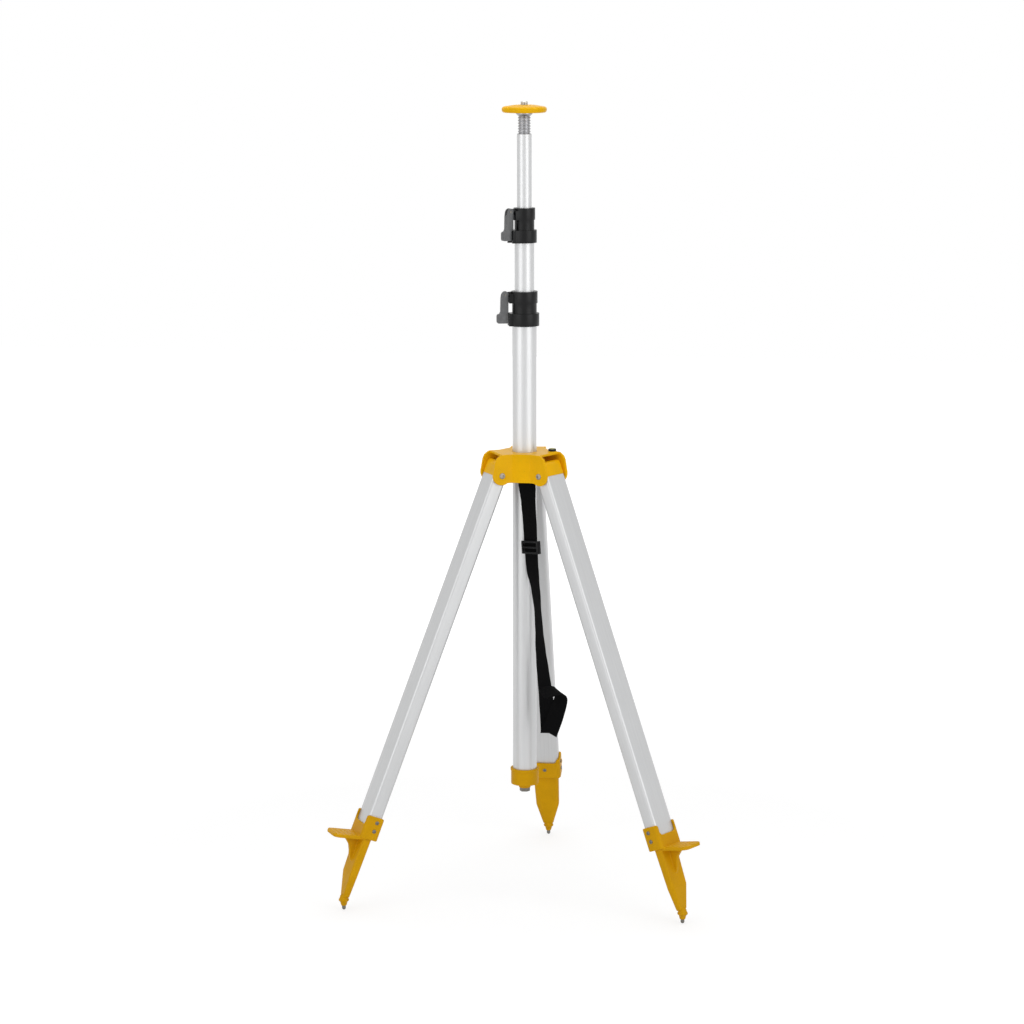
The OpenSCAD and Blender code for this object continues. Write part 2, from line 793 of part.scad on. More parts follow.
// The stem: a plug in the top tube, a shoulder, ribs and a flange
module ribbed_stem() {
    pitch = stem_rise / (stem_ribs + 0.5);
    rib_r = stem_r + stem_rib_depth;
    rib_foot = top_top + stem_shoulder;
    plug_r = top_r - mast_wall - seat_gap;
    color(silver) difference() {
        rotate_extrude() polygon([
            [0, top_top - stem_plug], [plug_r, top_top - stem_plug], [plug_r, top_top],
            [top_r - 0.6, top_top], [stem_r, rib_foot],
            for (i = [0 : stem_ribs - 1]) for (k = [0 : 3])
                [k == 0 || k == 3 ? stem_r : rib_r, rib_foot + (i + stem_rib_marks[k]) * pitch],
            [stem_r, stem_top - stem_flare], [stem_r + stem_flare, stem_top],
            [stem_flange_r - 1, stem_top + stem_flange_under], [stem_flange_r, stem_top + stem_flange_edge],
            [stem_flange_r, plate_bottom], [0, plate_bottom]
        ]);
        translate([0, 0, plate_bottom - stud_depth]) cylinder(r = stud_shank_r + pin_run, h = stud_depth + 1);
        translate([0, 0, top_top - stem_plug / 2]) rotate([90, 0, 0])
            cylinder(r = stem_pin_r, h = 2 * top_r, center = true);
    }
}

// A cross pin that holds the stem in the top tube
module stem_pin() {
    color(steel) translate([0, 0, top_top - stem_plug / 2]) rotate([90, 0, 0])
        cylinder(r = stem_pin_r, h = 2 * (top_r - mast_wall - seat_gap), center = true);
}

module head_plate() {
    rim = plate_d / 2;
    color(yellow) difference() {
        rotate_extrude() polygon([
            [0, plate_bottom], [rim - plate_round, plate_bottom], [rim - 0.8, plate_bottom + 1.6],
            [rim, plate_bottom + plate_round + 1], [rim, plate_bottom + plate_t - plate_round],
            [rim - 1, plate_bottom + plate_t - 0.8], [rim - plate_round, plate_bottom + plate_t],
            [stud_r + plate_crown_flat, plate_top], [0, plate_top]
        ]);
        translate([0, 0, plate_bottom - 1]) cylinder(r = stud_shank_r + pin_run, h = plate_t + plate_crown + 2);
        translate([0, 0, plate_top - stud_relief_h]) cylinder(r = stud_r + pin_run, h = 2 * stud_relief_h);
    }
}

module mounting_stud() {
    low = plate_bottom - stud_depth + 1;
    high = plate_top + stud_rise;
    color(silver) rotate_extrude() polygon([
        [0, low], [stud_shank_r, low], [stud_shank_r, plate_top], [stud_r, plate_top],
        [stud_r, high - stud_chamfer], [stud_r - stud_chamfer, high], [0, high]
    ]);
}

// Legs. Each is drawn with its pivot at the origin, its tube along -Z and its outer side towards +X.

module tube_section(clear) {
    round_rect(leg_depth - 2 * clear, leg_width - 2 * clear, max(leg_corner - clear, 1));
}

module leg_tube() {
    color(silver) difference() {
        translate([0, 0, -tube_end]) linear_extrude(tube_end - leg_top_drop) difference() {
            tube_section(0);
            tube_section(leg_wall);
        }
        leg_rivet_places() translate([0, 0, -leg_wall - 1]) cylinder(r = leg_rivet_r, h = leg_wall + 2);
    }
}

// Puts a shape at each of a leg's two rivets, on the tube's inner face, its axis away from the tube.
module leg_rivet_places() {
    for (side = [-1, 1])
        translate([-leg_depth / 2, side * leg_width / 4, -leg_top_drop - leg_rivet_drop]) rotate([0, -90, 0])
            children();
}

module leg_head() {
    d = leg_depth + 2 * head_proud;
    w = leg_width + 2 * head_proud;
    color(yellow) difference() {
        union() {
            intersection() {
                translate([0, 0, -leg_top_drop]) linear_extrude(head_rise + leg_top_drop)
                    round_rect(d, w, leg_corner + head_proud);
                translate([0, w / 2, 0]) rotate([90, 0, 0]) linear_extrude(w) union() {
                    translate([-d / 2, -leg_top_drop]) square([d, head_rise + leg_top_drop - head_round]);
                    translate([-d / 2, 0]) square([d - head_round, head_rise]);
                    translate([d / 2 - head_round, head_rise - head_round]) circle(head_round);
                }
            }
            translate([0, 0, -leg_top_drop - plug_length]) linear_extrude(plug_length + 1) difference() {
                tube_section(leg_wall + seat_gap);
                tube_section(leg_wall + seat_gap + plug_wall);
            }
        }
        rotate([90, 0, 0]) cylinder(r = pivot_bolt_r + pin_run, h = w + 2, center = true);
        leg_rivet_places() translate([0, 0, -leg_wall - plug_wall - 2])
            cylinder(r = leg_rivet_r, h = plug_wall + 4);
    }
}

// Rivets through the tube's inner face and the head's plug
module leg_rivets() {
    grip = leg_wall + seat_gap + plug_wall;
    color(steel) leg_rivet_places() rotate_extrude() polygon([
        [0, -grip], [leg_rivet_r, -grip], [leg_rivet_r, 0], [leg_rivet_head_r, 0],
        [leg_rivet_head_r * 0.85, leg_rivet_head_t * 0.6], [leg_rivet_head_r * 0.45, leg_rivet_head_t],
        [0, leg_rivet_head_t]
    ]);
}

// One section of the foot's blade as a thin round-cornered plate
module blade_slice(section) {
    in_x = -blade_back - section[1];
    out_x = blade_t - blade_back + section[2];
    w = blade_w + section[3];
    r = blade_corner;
    translate([(in_x + out_x) / 2, 0, -tube_end - foot_floor - section[0]]) linear_extrude(0.5)
        hull() for (x = [-1, 1], y = [-1, 1])
            translate([x * ((out_x - in_x) / 2 - r), y * (w / 2 - r)]) circle(r, $fn = 20);
}

// Places a shape drawn about the spike's upright axis, its ball's centre at the origin
module at_spike() {
    translate([-spike_in, 0, -leg_reach]) rotate([0, leg_lean, 0]) children();
}

module foot() {
    in_face = -leg_depth / 2 - foot_gap;
    out_face = leg_depth / 2 + foot_gap;
    side_face = leg_width / 2 + foot_gap;
    end = -tube_end;
    color(foot_yellow) difference() {
        union() {
            foot_socket(2 * (out_face + foot_wall), 2 * (side_face + foot_wall));
            hull() for (section = blade_sections) blade_slice(section);
            at_spike() translate([0, 0, spike_ring_up]) rotate_extrude() polygon([
                [0, -12], [spike_r + 1.6, -12], [spike_boss_r, -3], [spike_ring_r - 0.4, -1.6],
                [spike_ring_r, 0], [spike_ring_r - 0.4, 1.8], [spike_ring_r - 2, 4],
                [spike_boss_r, 8], [spike_boss_r - 2, 12], [0, 12]
            ]);
            foot_step(out_face, end);
        }
        translate([0, 0, end]) linear_extrude(tube_end)
            round_rect(leg_depth + 2 * foot_gap, leg_width + 2 * foot_gap, leg_corner + foot_gap);
        at_spike() translate([0, 0, -2]) cylinder(r = spike_r, h = spike_shank + 2);
        foot_screw_places(side_face + foot_wall, -in_face + foot_wall)
            cylinder(r = foot_screw_shank_r, h = 12, center = true);
    }
}

// The socket before it is hollowed: round-topped side pads with a lower wall between them on the inner
// and the outer face
module foot_socket(outer_d, outer_w) {
    top = foot_floor + pad_rise;
    c = pad_corner;
    translate([0, 0, -tube_end - foot_floor]) difference() {
        intersection() {
            linear_extrude(top) round_rect(outer_d, outer_w, socket_corner);
            translate([0, outer_w, 0]) rotate([90, 0, 0]) linear_extrude(2 * outer_w) union() {
                translate([-outer_d / 2, -1]) square([outer_d, top - c + 1]);
                translate([c - outer_d / 2, 0]) square([outer_d - 2 * c, top]);
                for (x = [-1, 1]) translate([x * (outer_d / 2 - c), top - c]) circle(c);
            }
        }
        foot_notch(0, outer_w, foot_floor + outer_rise);
        foot_notch(180, outer_w, foot_floor + inner_rise);
    }
}

// Cuts one end wall of the socket down to a round-cornered U between the side pads
module foot_notch(turn, outer_w, low) {
    half = outer_w / 2 - notch_side;
    c = notch_corner;
    rotate([0, 0, turn]) rotate([90, 0, 90]) linear_extrude(leg_depth) union() {
        translate([-half, low + c]) square([2 * half, 2 * pad_rise]);
        translate([c - half, low]) square([2 * (half - c), 2 * pad_rise]);
        for (y = [-1, 1]) translate([y * (half - c), low + c]) circle(c);
    }
}

// Puts a shape at each screw of a foot, its axis along its own Z: two on each side and one inside.
module foot_screw_places(side_out, inner_out) {
    for (side = [-1, 1], rise = foot_screw_rises)
        translate([-foot_screw_in, side * side_out, -tube_end + rise]) rotate([-90 * side, 0, 0]) children();
    translate([-inner_out, 0, -tube_end + inner_rise / 2]) rotate([0, -90, 0]) children();
}

// The step: it rises a little outward when the leg is spread, is ribbed on top and has a gusset below.
module foot_step(out_face, end) {
    length = step_reach + step_over;
    c = step_corner;
    rib_pitch = (step_reach - step_rib_start - step_rib_margin) / (step_ribs - 1);
    translate([out_face, 0, end - step_lift]) rotate([0, leg_lean - step_slope, 0]) {
        translate([-step_over, 0, -step_t]) linear_extrude(step_t) union() {
            translate([0, -step_w / 2]) square([length - c, step_w]);
            translate([0, -step_w / 2 + c]) square([length, step_w - 2 * c]);
            for (y = [-1, 1]) translate([length - c, y * (step_w / 2 - c)]) circle(c);
        }
        for (i = [0 : step_ribs - 1])
            translate([step_rib_start + i * rib_pitch, 0, 0]) rotate([90, 0, 0])
                cylinder(r = step_rib_r, h = step_w - 2 * step_rib_margin, center = true);
    }
    translate([0, gusset_w / 2, end - foot_floor]) rotate([90, 0, 0]) linear_extrude(gusset_w)
        polygon([[0, -2], for (e = gusset_edge) [e[0], -e[1]], [0, -60]]);
}

module foot_screws() {
    side_out = leg_width / 2 + foot_gap + foot_wall;
    inner_out = leg_depth / 2 + foot_gap + foot_wall;
    color(steel) foot_screw_places(side_out, inner_out)
        pan_screw(foot_screw_r, foot_screw_head_t, foot_screw_shank_r, foot_wall);
}

module spike() {
    color(steel) at_spike() {
        sphere(spike_r);
        cylinder(r = spike_r, h = spike_shank);
    }
}

module left_leg_head() { at_leg(left_turn) leg_head(); }
module left_leg_tube() { at_leg(left_turn) leg_tube(); }
module left_leg_rivets() { at_leg(left_turn) leg_rivets(); }
module left_foot() { at_leg(left_turn) foot(); }
module left_foot_screws() { at_leg(left_turn) foot_screws(); }
module left_spike() { at_leg(left_turn) spike(); }
module right_leg_head() { at_leg(right_turn) leg_head(); }
module right_leg_tube() { at_leg(right_turn) leg_tube(); }
module right_leg_rivets() { at_leg(right_turn) leg_rivets(); }
module right_foot() { at_leg(right_turn) foot(); }
module right_foot_screws() { at_leg(right_turn) foot_screws(); }
module right_spike() { at_leg(right_turn) spike(); }
module rear_leg_head() { at_leg(rear_turn) leg_head(); }
module rear_leg_tube() { at_leg(rear_turn) leg_tube(); }
module rear_leg_rivets() { at_leg(rear_turn) leg_rivets(); }
module rear_foot() { at_leg(rear_turn) foot(); }
module rear_foot_screws() { at_leg(rear_turn) foot_screws(); }
module rear_spike() { at_leg(rear_turn) spike(); }

// Carry strap

// The plate that clamps the strap's end against the front web
module strap_plate() {
    color(steel) difference() {
        translate([anchor_x - anchor_w / 2, -strap_plate_y, pivot_h - anchor_h - 8])
            cube([anchor_w, strap_plate_t, 2 * anchor_h + 8]);
        for (x = [-1, 1])
            translate([anchor_x + x * anchor_w / 3, -strap_plate_y - 1, pivot_h]) rotate([-90, 0, 0])
                cylinder(r = anchor_bolt_r, h = 4);
    }
}

module strap_screws() {
    anchor_shank_l = strap_plate_t + strap_t + 2 * strap_clear + anchor_depth_left;
    color(steel) for (x = [-1, 1])
        translate([anchor_x + x * anchor_w / 3, -strap_plate_y + strap_plate_t, pivot_h]) rotate([-90, 0, 0])
            pan_screw(anchor_head_r, anchor_head_t, anchor_bolt_r, anchor_shank_l);
}

// The strap's route below the hub: a place, measured down from the pivots, and the way its width points
strap_route = [
    [[11, -46.5, -6.5], [1, 0, 0]],
    [[11, -46.5, -17], [1, 0, 0]],
    [[12, -46.5, -27], [1, -0.15, 0]],
    [[13, -47, -40], [1, -0.35, 0]],
    [[14, -48, -54], [1, -0.5, 0]],
    [[17, -50, -92], [1, -0.6, 0]],
    [[20.5, -53, -150], [1, -0.7, 0]],
    [[24, -56, -196], [1, -0.8, 0]],
    [[31, -60, -238], [1, -1.3, 0]],
    [[36, -65, -280], [1, -1.7, 0]],
    [[39.5, -69, -321], [1, -1.5, 0]],
    [[43, -72, -363], [1, -1.1, 0]],
    [[48, -76, -404], [1, -0.8, 0]],
    [[53.5, -80, -446], [1, -0.6, 0]],
    [[58, -82.5, -488], [1, -0.4, 0]],
    [[61.5, -84, -529], [1, -0.27, 0]],
    [[62, -85.5, -533], [1, -0.26, -0.05]],
    [[62.5, -88.5, -535], [1, -0.28, -0.12]],
    [[63.5, -92, -534], [1, -0.3, -0.25]],
    [[65, -94, -530.5], [1, -0.33, -0.38]],
    [[75, -97.5, -506], [0.85, -0.41, -0.33]],
    [[83.5, -101, -480.5], [0.82, -0.49, -0.28]],
    [[90, -104.5, -455], [0.78, -0.57, -0.25]],
    [[90.5, -105.5, -450], [0.75, -0.61, -0.23]],
    [[90, -107.5, -445.5], [0.72, -0.65, -0.24]],
    [[88.5, -110, -442], [0.68, -0.7, -0.25]],
    [[86, -112.5, -439.5], [0.64, -0.74, -0.27]],
    [[82.5, -115, -438], [0.58, -0.76, -0.3]],
    [[78.5, -117.5, -437.5], [0.54, -0.78, -0.34]],
    [[66, -124, -439], [0.49, -0.77, -0.41]],
    [[53, -130.5, -442], [0.5, -0.76, -0.41]]
];

function unit(v) = v / norm(v);

// The four corners of the webbing at one point of its route
function strap_ring(i) =
    let (
        last = len(strap_route) - 1,
        here = strap_route[i][0],
        ahead = strap_route[min(i + 1, last)][0],
        behind = strap_route[max(i - 1, 0)][0],
        along = unit(ahead - behind),
        across_raw = strap_route[i][1],
        across = unit(across_raw - (across_raw * along) * along) * strap_w / 2,
        out = unit(cross(along, across)) * strap_t / 2
    )
    [for (c = [[-1, -1], [1, -1], [1, 1], [-1, 1]]) here + c[0] * across + c[1] * out];

module carry_strap() {
    rings = len(strap_route);
    points = [for (i = [0 : rings - 1]) for (p = strap_ring(i)) p];
    // The front and the back are split along the same diagonals, so that they stay parallel in a twist
    sides = [
        for (i = [0 : rings - 2]) for (k = [0 : 3])
            let (a = 4 * i + k, b = 4 * i + (k + 1) % 4)
                each k == 2 ? [[a, a + 4, b], [b, a + 4, b + 4]] : [[a, b + 4, b], [a, a + 4, b + 4]]
    ];
    e = 4 * (rings - 1);
    ends = [[0, 1, 2], [0, 2, 3], [e, e + 2, e + 1], [e, e + 3, e + 2]];
    color(webbing) translate([0, 0, pivot_h]) polyhedron(points, concat(sides, ends));
}

// The buckle: two side bars, three cross bars in front of the webbing and one behind it
module strap_buckle() {
    here = strap_route[buckle_point];
    along = unit(strap_route[buckle_point + 1][0] - strap_route[buckle_point - 1][0]);
    across = unit(here[1] - (here[1] * along) * along);
    inward = cross(across, along);
    bar = buckle_bar;
    gap = strap_t / 2 + 2 * strap_clear;
    side_t = (buckle_w - strap_w) / 2 - 2 * strap_clear;
    color(black) translate([0, 0, pivot_h])
        multmatrix([
            [across[0], inward[0], -along[0], here[0][0]],
            [across[1], inward[1], -along[1], here[0][1]],
            [across[2], inward[2], -along[2], here[0][2]]
        ]) {
            for (s = [-1, 1])
                translate([s * (buckle_w - side_t) / 2, 0, 0])
                    cube([side_t, 2 * (gap + bar), buckle_h], center = true);
            for (z = [-1, 0, 1])
                translate([-buckle_w / 2, -gap - bar, z * (buckle_h - bar) / 2 - bar / 2])
                    cube([buckle_w, bar, bar]);
            translate([-buckle_w / 2, gap, -bar]) cube([buckle_w, bar, 2 * bar]);
        }
}

hub_casting();
base_tube();
hub_set_screws();
mast_cap();
cap_plug();
cap_bolt();
pivot_bolts();
pivot_nuts();
level_cup();
level_vial();
strap_plate();
strap_screws();
carry_strap();
strap_buckle();
lower_collar();
lower_collar_screws();
lower_lever_pin();
lower_brake_shoe();
lower_lever();
middle_tube();
middle_guide();
upper_collar();
upper_collar_screws();
upper_lever_pin();
upper_brake_shoe();
upper_lever();
top_tube();
top_guide();
ribbed_stem();
stem_pin();
head_plate();
mounting_stud();
left_leg_head();
left_leg_tube();
left_leg_rivets();
left_foot();
left_foot_screws();
left_spike();
right_leg_head();
right_leg_tube();
right_leg_rivets();
right_foot();
right_foot_screws();
right_spike();
rear_leg_head();
rear_leg_tube();
rear_leg_rivets();
rear_foot();
rear_foot_screws();
rear_spike();
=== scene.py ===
"""The looks of a laser level tripod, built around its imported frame.

Lengths are in metres, unless a name ends in _MM. The mast axis is the Z axis, the ground is Z = 0
and the rear leg points along +Y.
"""

import json
import math

import bmesh
import bpy
from mathutils import Matrix, Vector

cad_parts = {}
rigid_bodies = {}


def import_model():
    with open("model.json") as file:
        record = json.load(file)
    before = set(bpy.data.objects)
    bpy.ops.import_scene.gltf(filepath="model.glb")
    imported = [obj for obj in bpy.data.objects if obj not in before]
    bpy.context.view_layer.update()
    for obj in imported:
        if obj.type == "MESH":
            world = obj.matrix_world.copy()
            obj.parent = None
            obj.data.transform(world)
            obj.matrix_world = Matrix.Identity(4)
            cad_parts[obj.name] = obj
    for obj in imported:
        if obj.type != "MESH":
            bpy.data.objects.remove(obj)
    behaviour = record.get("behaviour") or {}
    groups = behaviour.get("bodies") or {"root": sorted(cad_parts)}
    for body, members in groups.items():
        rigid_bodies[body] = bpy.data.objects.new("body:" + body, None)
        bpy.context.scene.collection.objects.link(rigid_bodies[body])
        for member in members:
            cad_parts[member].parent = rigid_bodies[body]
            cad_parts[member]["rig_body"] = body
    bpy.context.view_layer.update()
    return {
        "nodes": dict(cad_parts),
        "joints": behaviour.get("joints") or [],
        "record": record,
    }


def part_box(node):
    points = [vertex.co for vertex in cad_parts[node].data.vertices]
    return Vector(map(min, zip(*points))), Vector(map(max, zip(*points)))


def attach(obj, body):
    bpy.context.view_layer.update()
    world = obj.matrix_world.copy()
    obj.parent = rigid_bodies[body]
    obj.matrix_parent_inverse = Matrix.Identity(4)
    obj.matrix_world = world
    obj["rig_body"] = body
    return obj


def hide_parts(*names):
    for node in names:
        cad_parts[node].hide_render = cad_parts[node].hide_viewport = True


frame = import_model()
nodes = frame["nodes"]
MM = 0.001
UP = Vector((0, 0, 1))

# Photograph's view, found by fitting a camera to the mast, the legs and the spikes
FOCAL_PX = 3000
IMAGE_PX = 1024
SENSOR_MM = 36
CAMERA_PLACE = (0.8114, -6.1009, 1.91175)
CAMERA_DOWN_DEG = 10.13
CAMERA_TURN_DEG = 7.82
CAMERA_ROLL_DEG = -0.09


def add_camera():
    data = bpy.data.cameras.new("camera")
    data.sensor_width = SENSOR_MM
    data.lens = FOCAL_PX / IMAGE_PX * SENSOR_MM
    data.clip_start = 0.05
    data.clip_end = 100
    camera = bpy.data.objects.new("camera", data)
    camera.location = CAMERA_PLACE
    turn = Matrix.Rotation(math.radians(CAMERA_TURN_DEG), 3, "Z")
    tilt = Matrix.Rotation(math.radians(90 - CAMERA_DOWN_DEG), 3, "X")
    roll = Matrix.Rotation(math.radians(CAMERA_ROLL_DEG), 3, "Z")
    camera.rotation_euler = (turn @ tilt @ roll).to_euler()
    bpy.context.scene.collection.objects.link(camera)
    bpy.context.scene.camera = camera


add_camera()


# Meshes

# Edges of the CAD meshes that turn by more than this are sharp.
SHARP_DEG = 32
# Points closer than this are one point, and faces that turn by less than this angle are one face.
WELD_DIST = 0.002 * MM
FLAT_DEG = 0.4
# Steps round a corner of a profile, round a corner of a tube and across a bevel
ROUND_STEPS = 4
CORNER_STEPS = 8
BEVEL_STEPS = 3


def new_object(name, mesh):
    obj = bpy.data.objects.new(name, mesh)
    bpy.context.scene.collection.objects.link(obj)
    return obj


def mesh_from(name, points, faces):
    mesh = bpy.data.meshes.new(name)
    mesh.from_pydata([tuple(p) for p in points], [], faces)
    mesh.validate()
    return mesh


def settle(obj):
    """Applies an object's modifiers to its mesh."""
    bpy.context.view_layer.update()
    graph = bpy.context.evaluated_depsgraph_get()
    mesh = bpy.data.meshes.new_from_object(obj.evaluated_get(graph))
    mesh.name = obj.name
    obj.modifiers.clear()
    obj.data = mesh


def smooth(mesh, sharp_deg=35):
    """Shades a mesh smooth, apart from edges that turn by more than an angle. With None, no edge is sharp."""
    mesh.polygons.foreach_set("use_smooth", [True] * len(mesh.polygons))
    if sharp_deg is not None:
        mesh.set_sharp_from_angle(angle=math.radians(sharp_deg))
    return mesh


def ring(radius, height, segments):
    """Points round the Z axis."""
    turns = [math.tau * i / segments for i in range(segments)]
    return [(radius * math.cos(a), radius * math.sin(a), height) for a in turns]


def band(a, b, n):
    """Faces between two closed rows of n points, the first from point a on and the second from point b on."""
    return [(a + i, a + (i + 1) % n, b + (i + 1) % n, b + i) for i in range(n)]


def lathe_mesh(name, profile, segments=64):
    """A surface turned about Z from points (radius, height). It closes where the radius is 0."""
    points, starts, faces = [], [], []
    for r, z in profile:
        starts.append((len(points), r > 0))
        points += ring(r, z, segments) if r > 0 else [(0, 0, z)]
    for (low, low_is_ring), (high, high_is_ring) in zip(starts, starts[1:]):
        if low_is_ring and high_is_ring:
            faces += band(low, high, segments)
        elif high_is_ring:
            faces += [(low, high + (i + 1) % segments, high + i) for i in range(segments)]
        elif low_is_ring:
            faces += [(low + i, low + (i + 1) % segments, high) for i in range(segments)]
    return mesh_from(name, points, faces)


def cylinder_mesh(radius, low, high, segments):
    return lathe_mesh("cylinder", [(0, low), (radius, low), (radius, high), (0, high)], segments)


def round_profile(corners, radius):
    """The corners of an open outline, each rounded by up to a radius."""
    out = [corners[0]]
    for before, here, after in zip(corners, corners[1:], corners[2:]):
        p, q, s = Vector(before), Vector(here), Vector(after)
        reach = min(radius, (p - q).length * 0.45, (s - q).length * 0.45)
        start, end = q + (p - q).normalized() * reach, q + (s - q).normalized() * reach
        for i in range(ROUND_STEPS + 1):
            t = i / ROUND_STEPS
            out.append(tuple((1 - t) ** 2 * start + 2 * t * (1 - t) * q + t * t * end))
    out.append(corners[-1])
    return out


def cad_copy(node, matrix=None):
    """A welded copy of a CAD node's mesh with its flat faces joined, moved by a matrix."""
    mesh = nodes[node].data.copy()
    mesh.materials.clear()
    work = bmesh.new()
    work.from_mesh(mesh)
    bmesh.ops.remove_doubles(work, verts=work.verts, dist=WELD_DIST)
    bmesh.ops.dissolve_limit(work, angle_limit=math.radians(FLAT_DEG), verts=work.verts, edges=work.edges)
    if matrix is not None:
        bmesh.ops.transform(work, matrix=matrix, verts=work.verts)
    work.to_mesh(mesh)
    work.free()
    return mesh


def bevelled(mesh, width):
    """Rounds a mesh's sharp edges."""
    obj = new_object("work", mesh)
    bevel = obj.modifiers.new("bevel", "BEVEL")
    bevel.width = width
    bevel.segments = BEVEL_STEPS
    bevel.limit_method = "ANGLE"
    bevel.angle_limit = math.radians(SHARP_DEG)
    bevel.use_clamp_overlap = True
    bevel.miter_outer = "MITER_ARC"
    settle(obj)
    mesh = obj.data
    bpy.data.objects.remove(obj)
    return smooth(mesh)


def cast(mesh, voxel, rounds):
    """Gives a mesh the soft edges of a casting, by remeshing and smoothing it."""
    obj = new_object("work", mesh)
    remesh = obj.modifiers.new("remesh", "REMESH")
    remesh.mode = "VOXEL"
    remesh.voxel_size = voxel
    remesh.adaptivity = 0
    soften = obj.modifiers.new("soften", "SMOOTH")
    soften.factor = 0.5
    soften.iterations = rounds
    settle(obj)
    mesh = obj.data
    bpy.data.objects.remove(obj)
    return smooth(mesh, None)


def cut(mesh, cutter):
    """A mesh with the volume of another mesh taken away."""
    obj = new_object("work", mesh)
    tool = new_object("cutter", cutter)
    away = obj.modifiers.new("cut", "BOOLEAN")
    away.operation = "DIFFERENCE"
    away.solver = "EXACT"
    away.object = tool
    settle(obj)
    mesh = obj.data
    for used in (obj, tool):
        bpy.data.objects.remove(used)
    return mesh


def joined(name, meshes):
    """Several meshes as one."""
    work = bmesh.new()
    for mesh in meshes:
        work.from_mesh(mesh)
    out = bpy.data.meshes.new(name)
    work.to_mesh(out)
    work.free()
    return out


def moved(mesh, matrix):
    mesh = mesh.copy()
    mesh.transform(matrix)
    return mesh


def prism_mesh(name, outline, low, high):
    """An outline in X and Y, closed, between two heights."""
    n = len(outline)
    points = [(x, y, low) for x, y in outline] + [(x, y, high) for x, y in outline]
    faces = [tuple(reversed(range(n))), tuple(range(n, 2 * n))]
    return mesh_from(name, points, faces + band(0, n, n))


def rounded_rectangle(width, depth, radius):
    """Points round a rectangle with round corners, centred."""
    out = []
    for cx, cy, start in ((1, 1, 0), (-1, 1, 90), (-1, -1, 180), (1, -1, 270)):
        for i in range(CORNER_STEPS + 1):
            a = math.radians(start + 90 * i / CORNER_STEPS)
            out.append((cx * (width / 2 - radius) + radius * math.cos(a),
                        cy * (depth / 2 - radius) + radius * math.sin(a)))
    return out


def mesh_box(mesh):
    xs, ys, zs = zip(*(v.co for v in mesh.vertices))
    return Vector((min(xs), min(ys), min(zs))), Vector((max(xs), max(ys), max(zs)))


# Materials

class Paint:
    """A material's node tree, with short ways to add textures to it."""

    def __init__(self, name, colour, roughness, metallic=0.0, specular=0.5):
        self.material = bpy.data.materials.new(name)
        self.material.use_nodes = True
        self.tree = self.material.node_tree
        self.shader = self.tree.nodes["Principled BSDF"]
        self.set("Base Color", (*colour, 1))
        self.set("Roughness", roughness)
        self.set("Metallic", metallic)
        self.set("Specular IOR Level", specular)

    def set(self, socket, value):
        self.shader.inputs[socket].default_value = value

    def node(self, kind, **settings):
        made = self.tree.nodes.new(kind)
        for key, value in settings.items():
            setattr(made, key, value)
        return made

    def link(self, a, b):
        self.tree.links.new(a, b)

    def place(self, scale):
        """Object coordinates, stretched by a scale along each axis."""
        coordinates = self.node("ShaderNodeTexCoord")
        mapping = self.node("ShaderNodeMapping")
        mapping.inputs["Scale"].default_value = scale
        self.link(coordinates.outputs["Object"], mapping.inputs["Vector"])
        return mapping.outputs["Vector"]

    def noise(self, scale, detail=3, roughness=0.5, place=None):
        texture = self.node("ShaderNodeTexNoise")
        texture.inputs["Scale"].default_value = scale
        texture.inputs["Detail"].default_value = detail
        texture.inputs["Roughness"].default_value = roughness
        self.link(place or self.place((1, 1, 1)), texture.inputs["Vector"])
        return texture.outputs["Fac"]

    def spread(self, value, low, high, to_low, to_high):
        """Maps a value from one range to another."""
        mapped = self.node("ShaderNodeMapRange")
        for key, number in (("From Min", low), ("From Max", high), ("To Min", to_low), ("To Max", to_high)):
            mapped.inputs[key].default_value = number
        self.link(value, mapped.inputs["Value"])
        return mapped.outputs["Result"]

    def mix(self, factor, a, b):
        """A colour between a and b, where each is a colour or a socket."""
        mixed = self.node("ShaderNodeMix", data_type="RGBA")
        self.link(factor, mixed.inputs["Factor"])
        for socket, value in (("A", a), ("B", b)):
            target = [i for i in mixed.inputs if i.name == socket and i.type == "RGBA"][0]
            if hasattr(value, "is_linked"):
                self.link(value, target)
            else:
                target.default_value = (*value, 1)
        return [o for o in mixed.outputs if o.type == "RGBA"][0]

    def colour(self, socket):
        self.link(socket, self.shader.inputs["Base Color"])

    def roughness(self, socket):
        self.link(socket, self.shader.inputs["Roughness"])

    def bump(self, *layers):
        """Layers are (height socket, strength, distance)."""
        normal = None
        for height, strength, distance in layers:
            bump = self.node("ShaderNodeBump")
            bump.inputs["Strength"].default_value = strength
            bump.inputs["Distance"].default_value = distance
            self.link(height, bump.inputs["Height"])
            if normal:
                self.link(normal, bump.inputs["Normal"])
            normal = bump.outputs["Normal"]
        self.link(normal, self.shader.inputs["Normal"])


def tinted(colour, factor):
    return tuple(min(c * factor, 1) for c in colour)


def powder_coat(name, colour, roughness):
    """Powder coat on a casting: faint orange peel, a slightly uneven colour and darker specks."""
    paint = Paint(name, colour, roughness, specular=0.08)
    broad = paint.noise(14, 4, 0.55)
    fine = paint.noise(260, 3, 0.6)
    base = paint.mix(paint.spread(broad, 0.35, 0.65, 0, 1), tinted(colour, 0.93), tinted(colour, 1.05))
    specks = paint.spread(fine, 0.30, 0.44, 0.35, 0)
    paint.colour(paint.mix(specks, base, tinted(colour, 0.75)))
    paint.roughness(paint.spread(broad, 0.3, 0.7, roughness - 0.05, roughness + 0.06))
    paint.bump((paint.noise(420, 2, 0.5), 0.18, 0.0004), (fine, 0.10, 0.0003))
    return paint.material


# How far the textures of drawn and of turned metal are stretched along each axis
DRAWN_STRETCH = (1, 1, 0.012)
TURNED_STRETCH = (0.02, 0.02, 1)


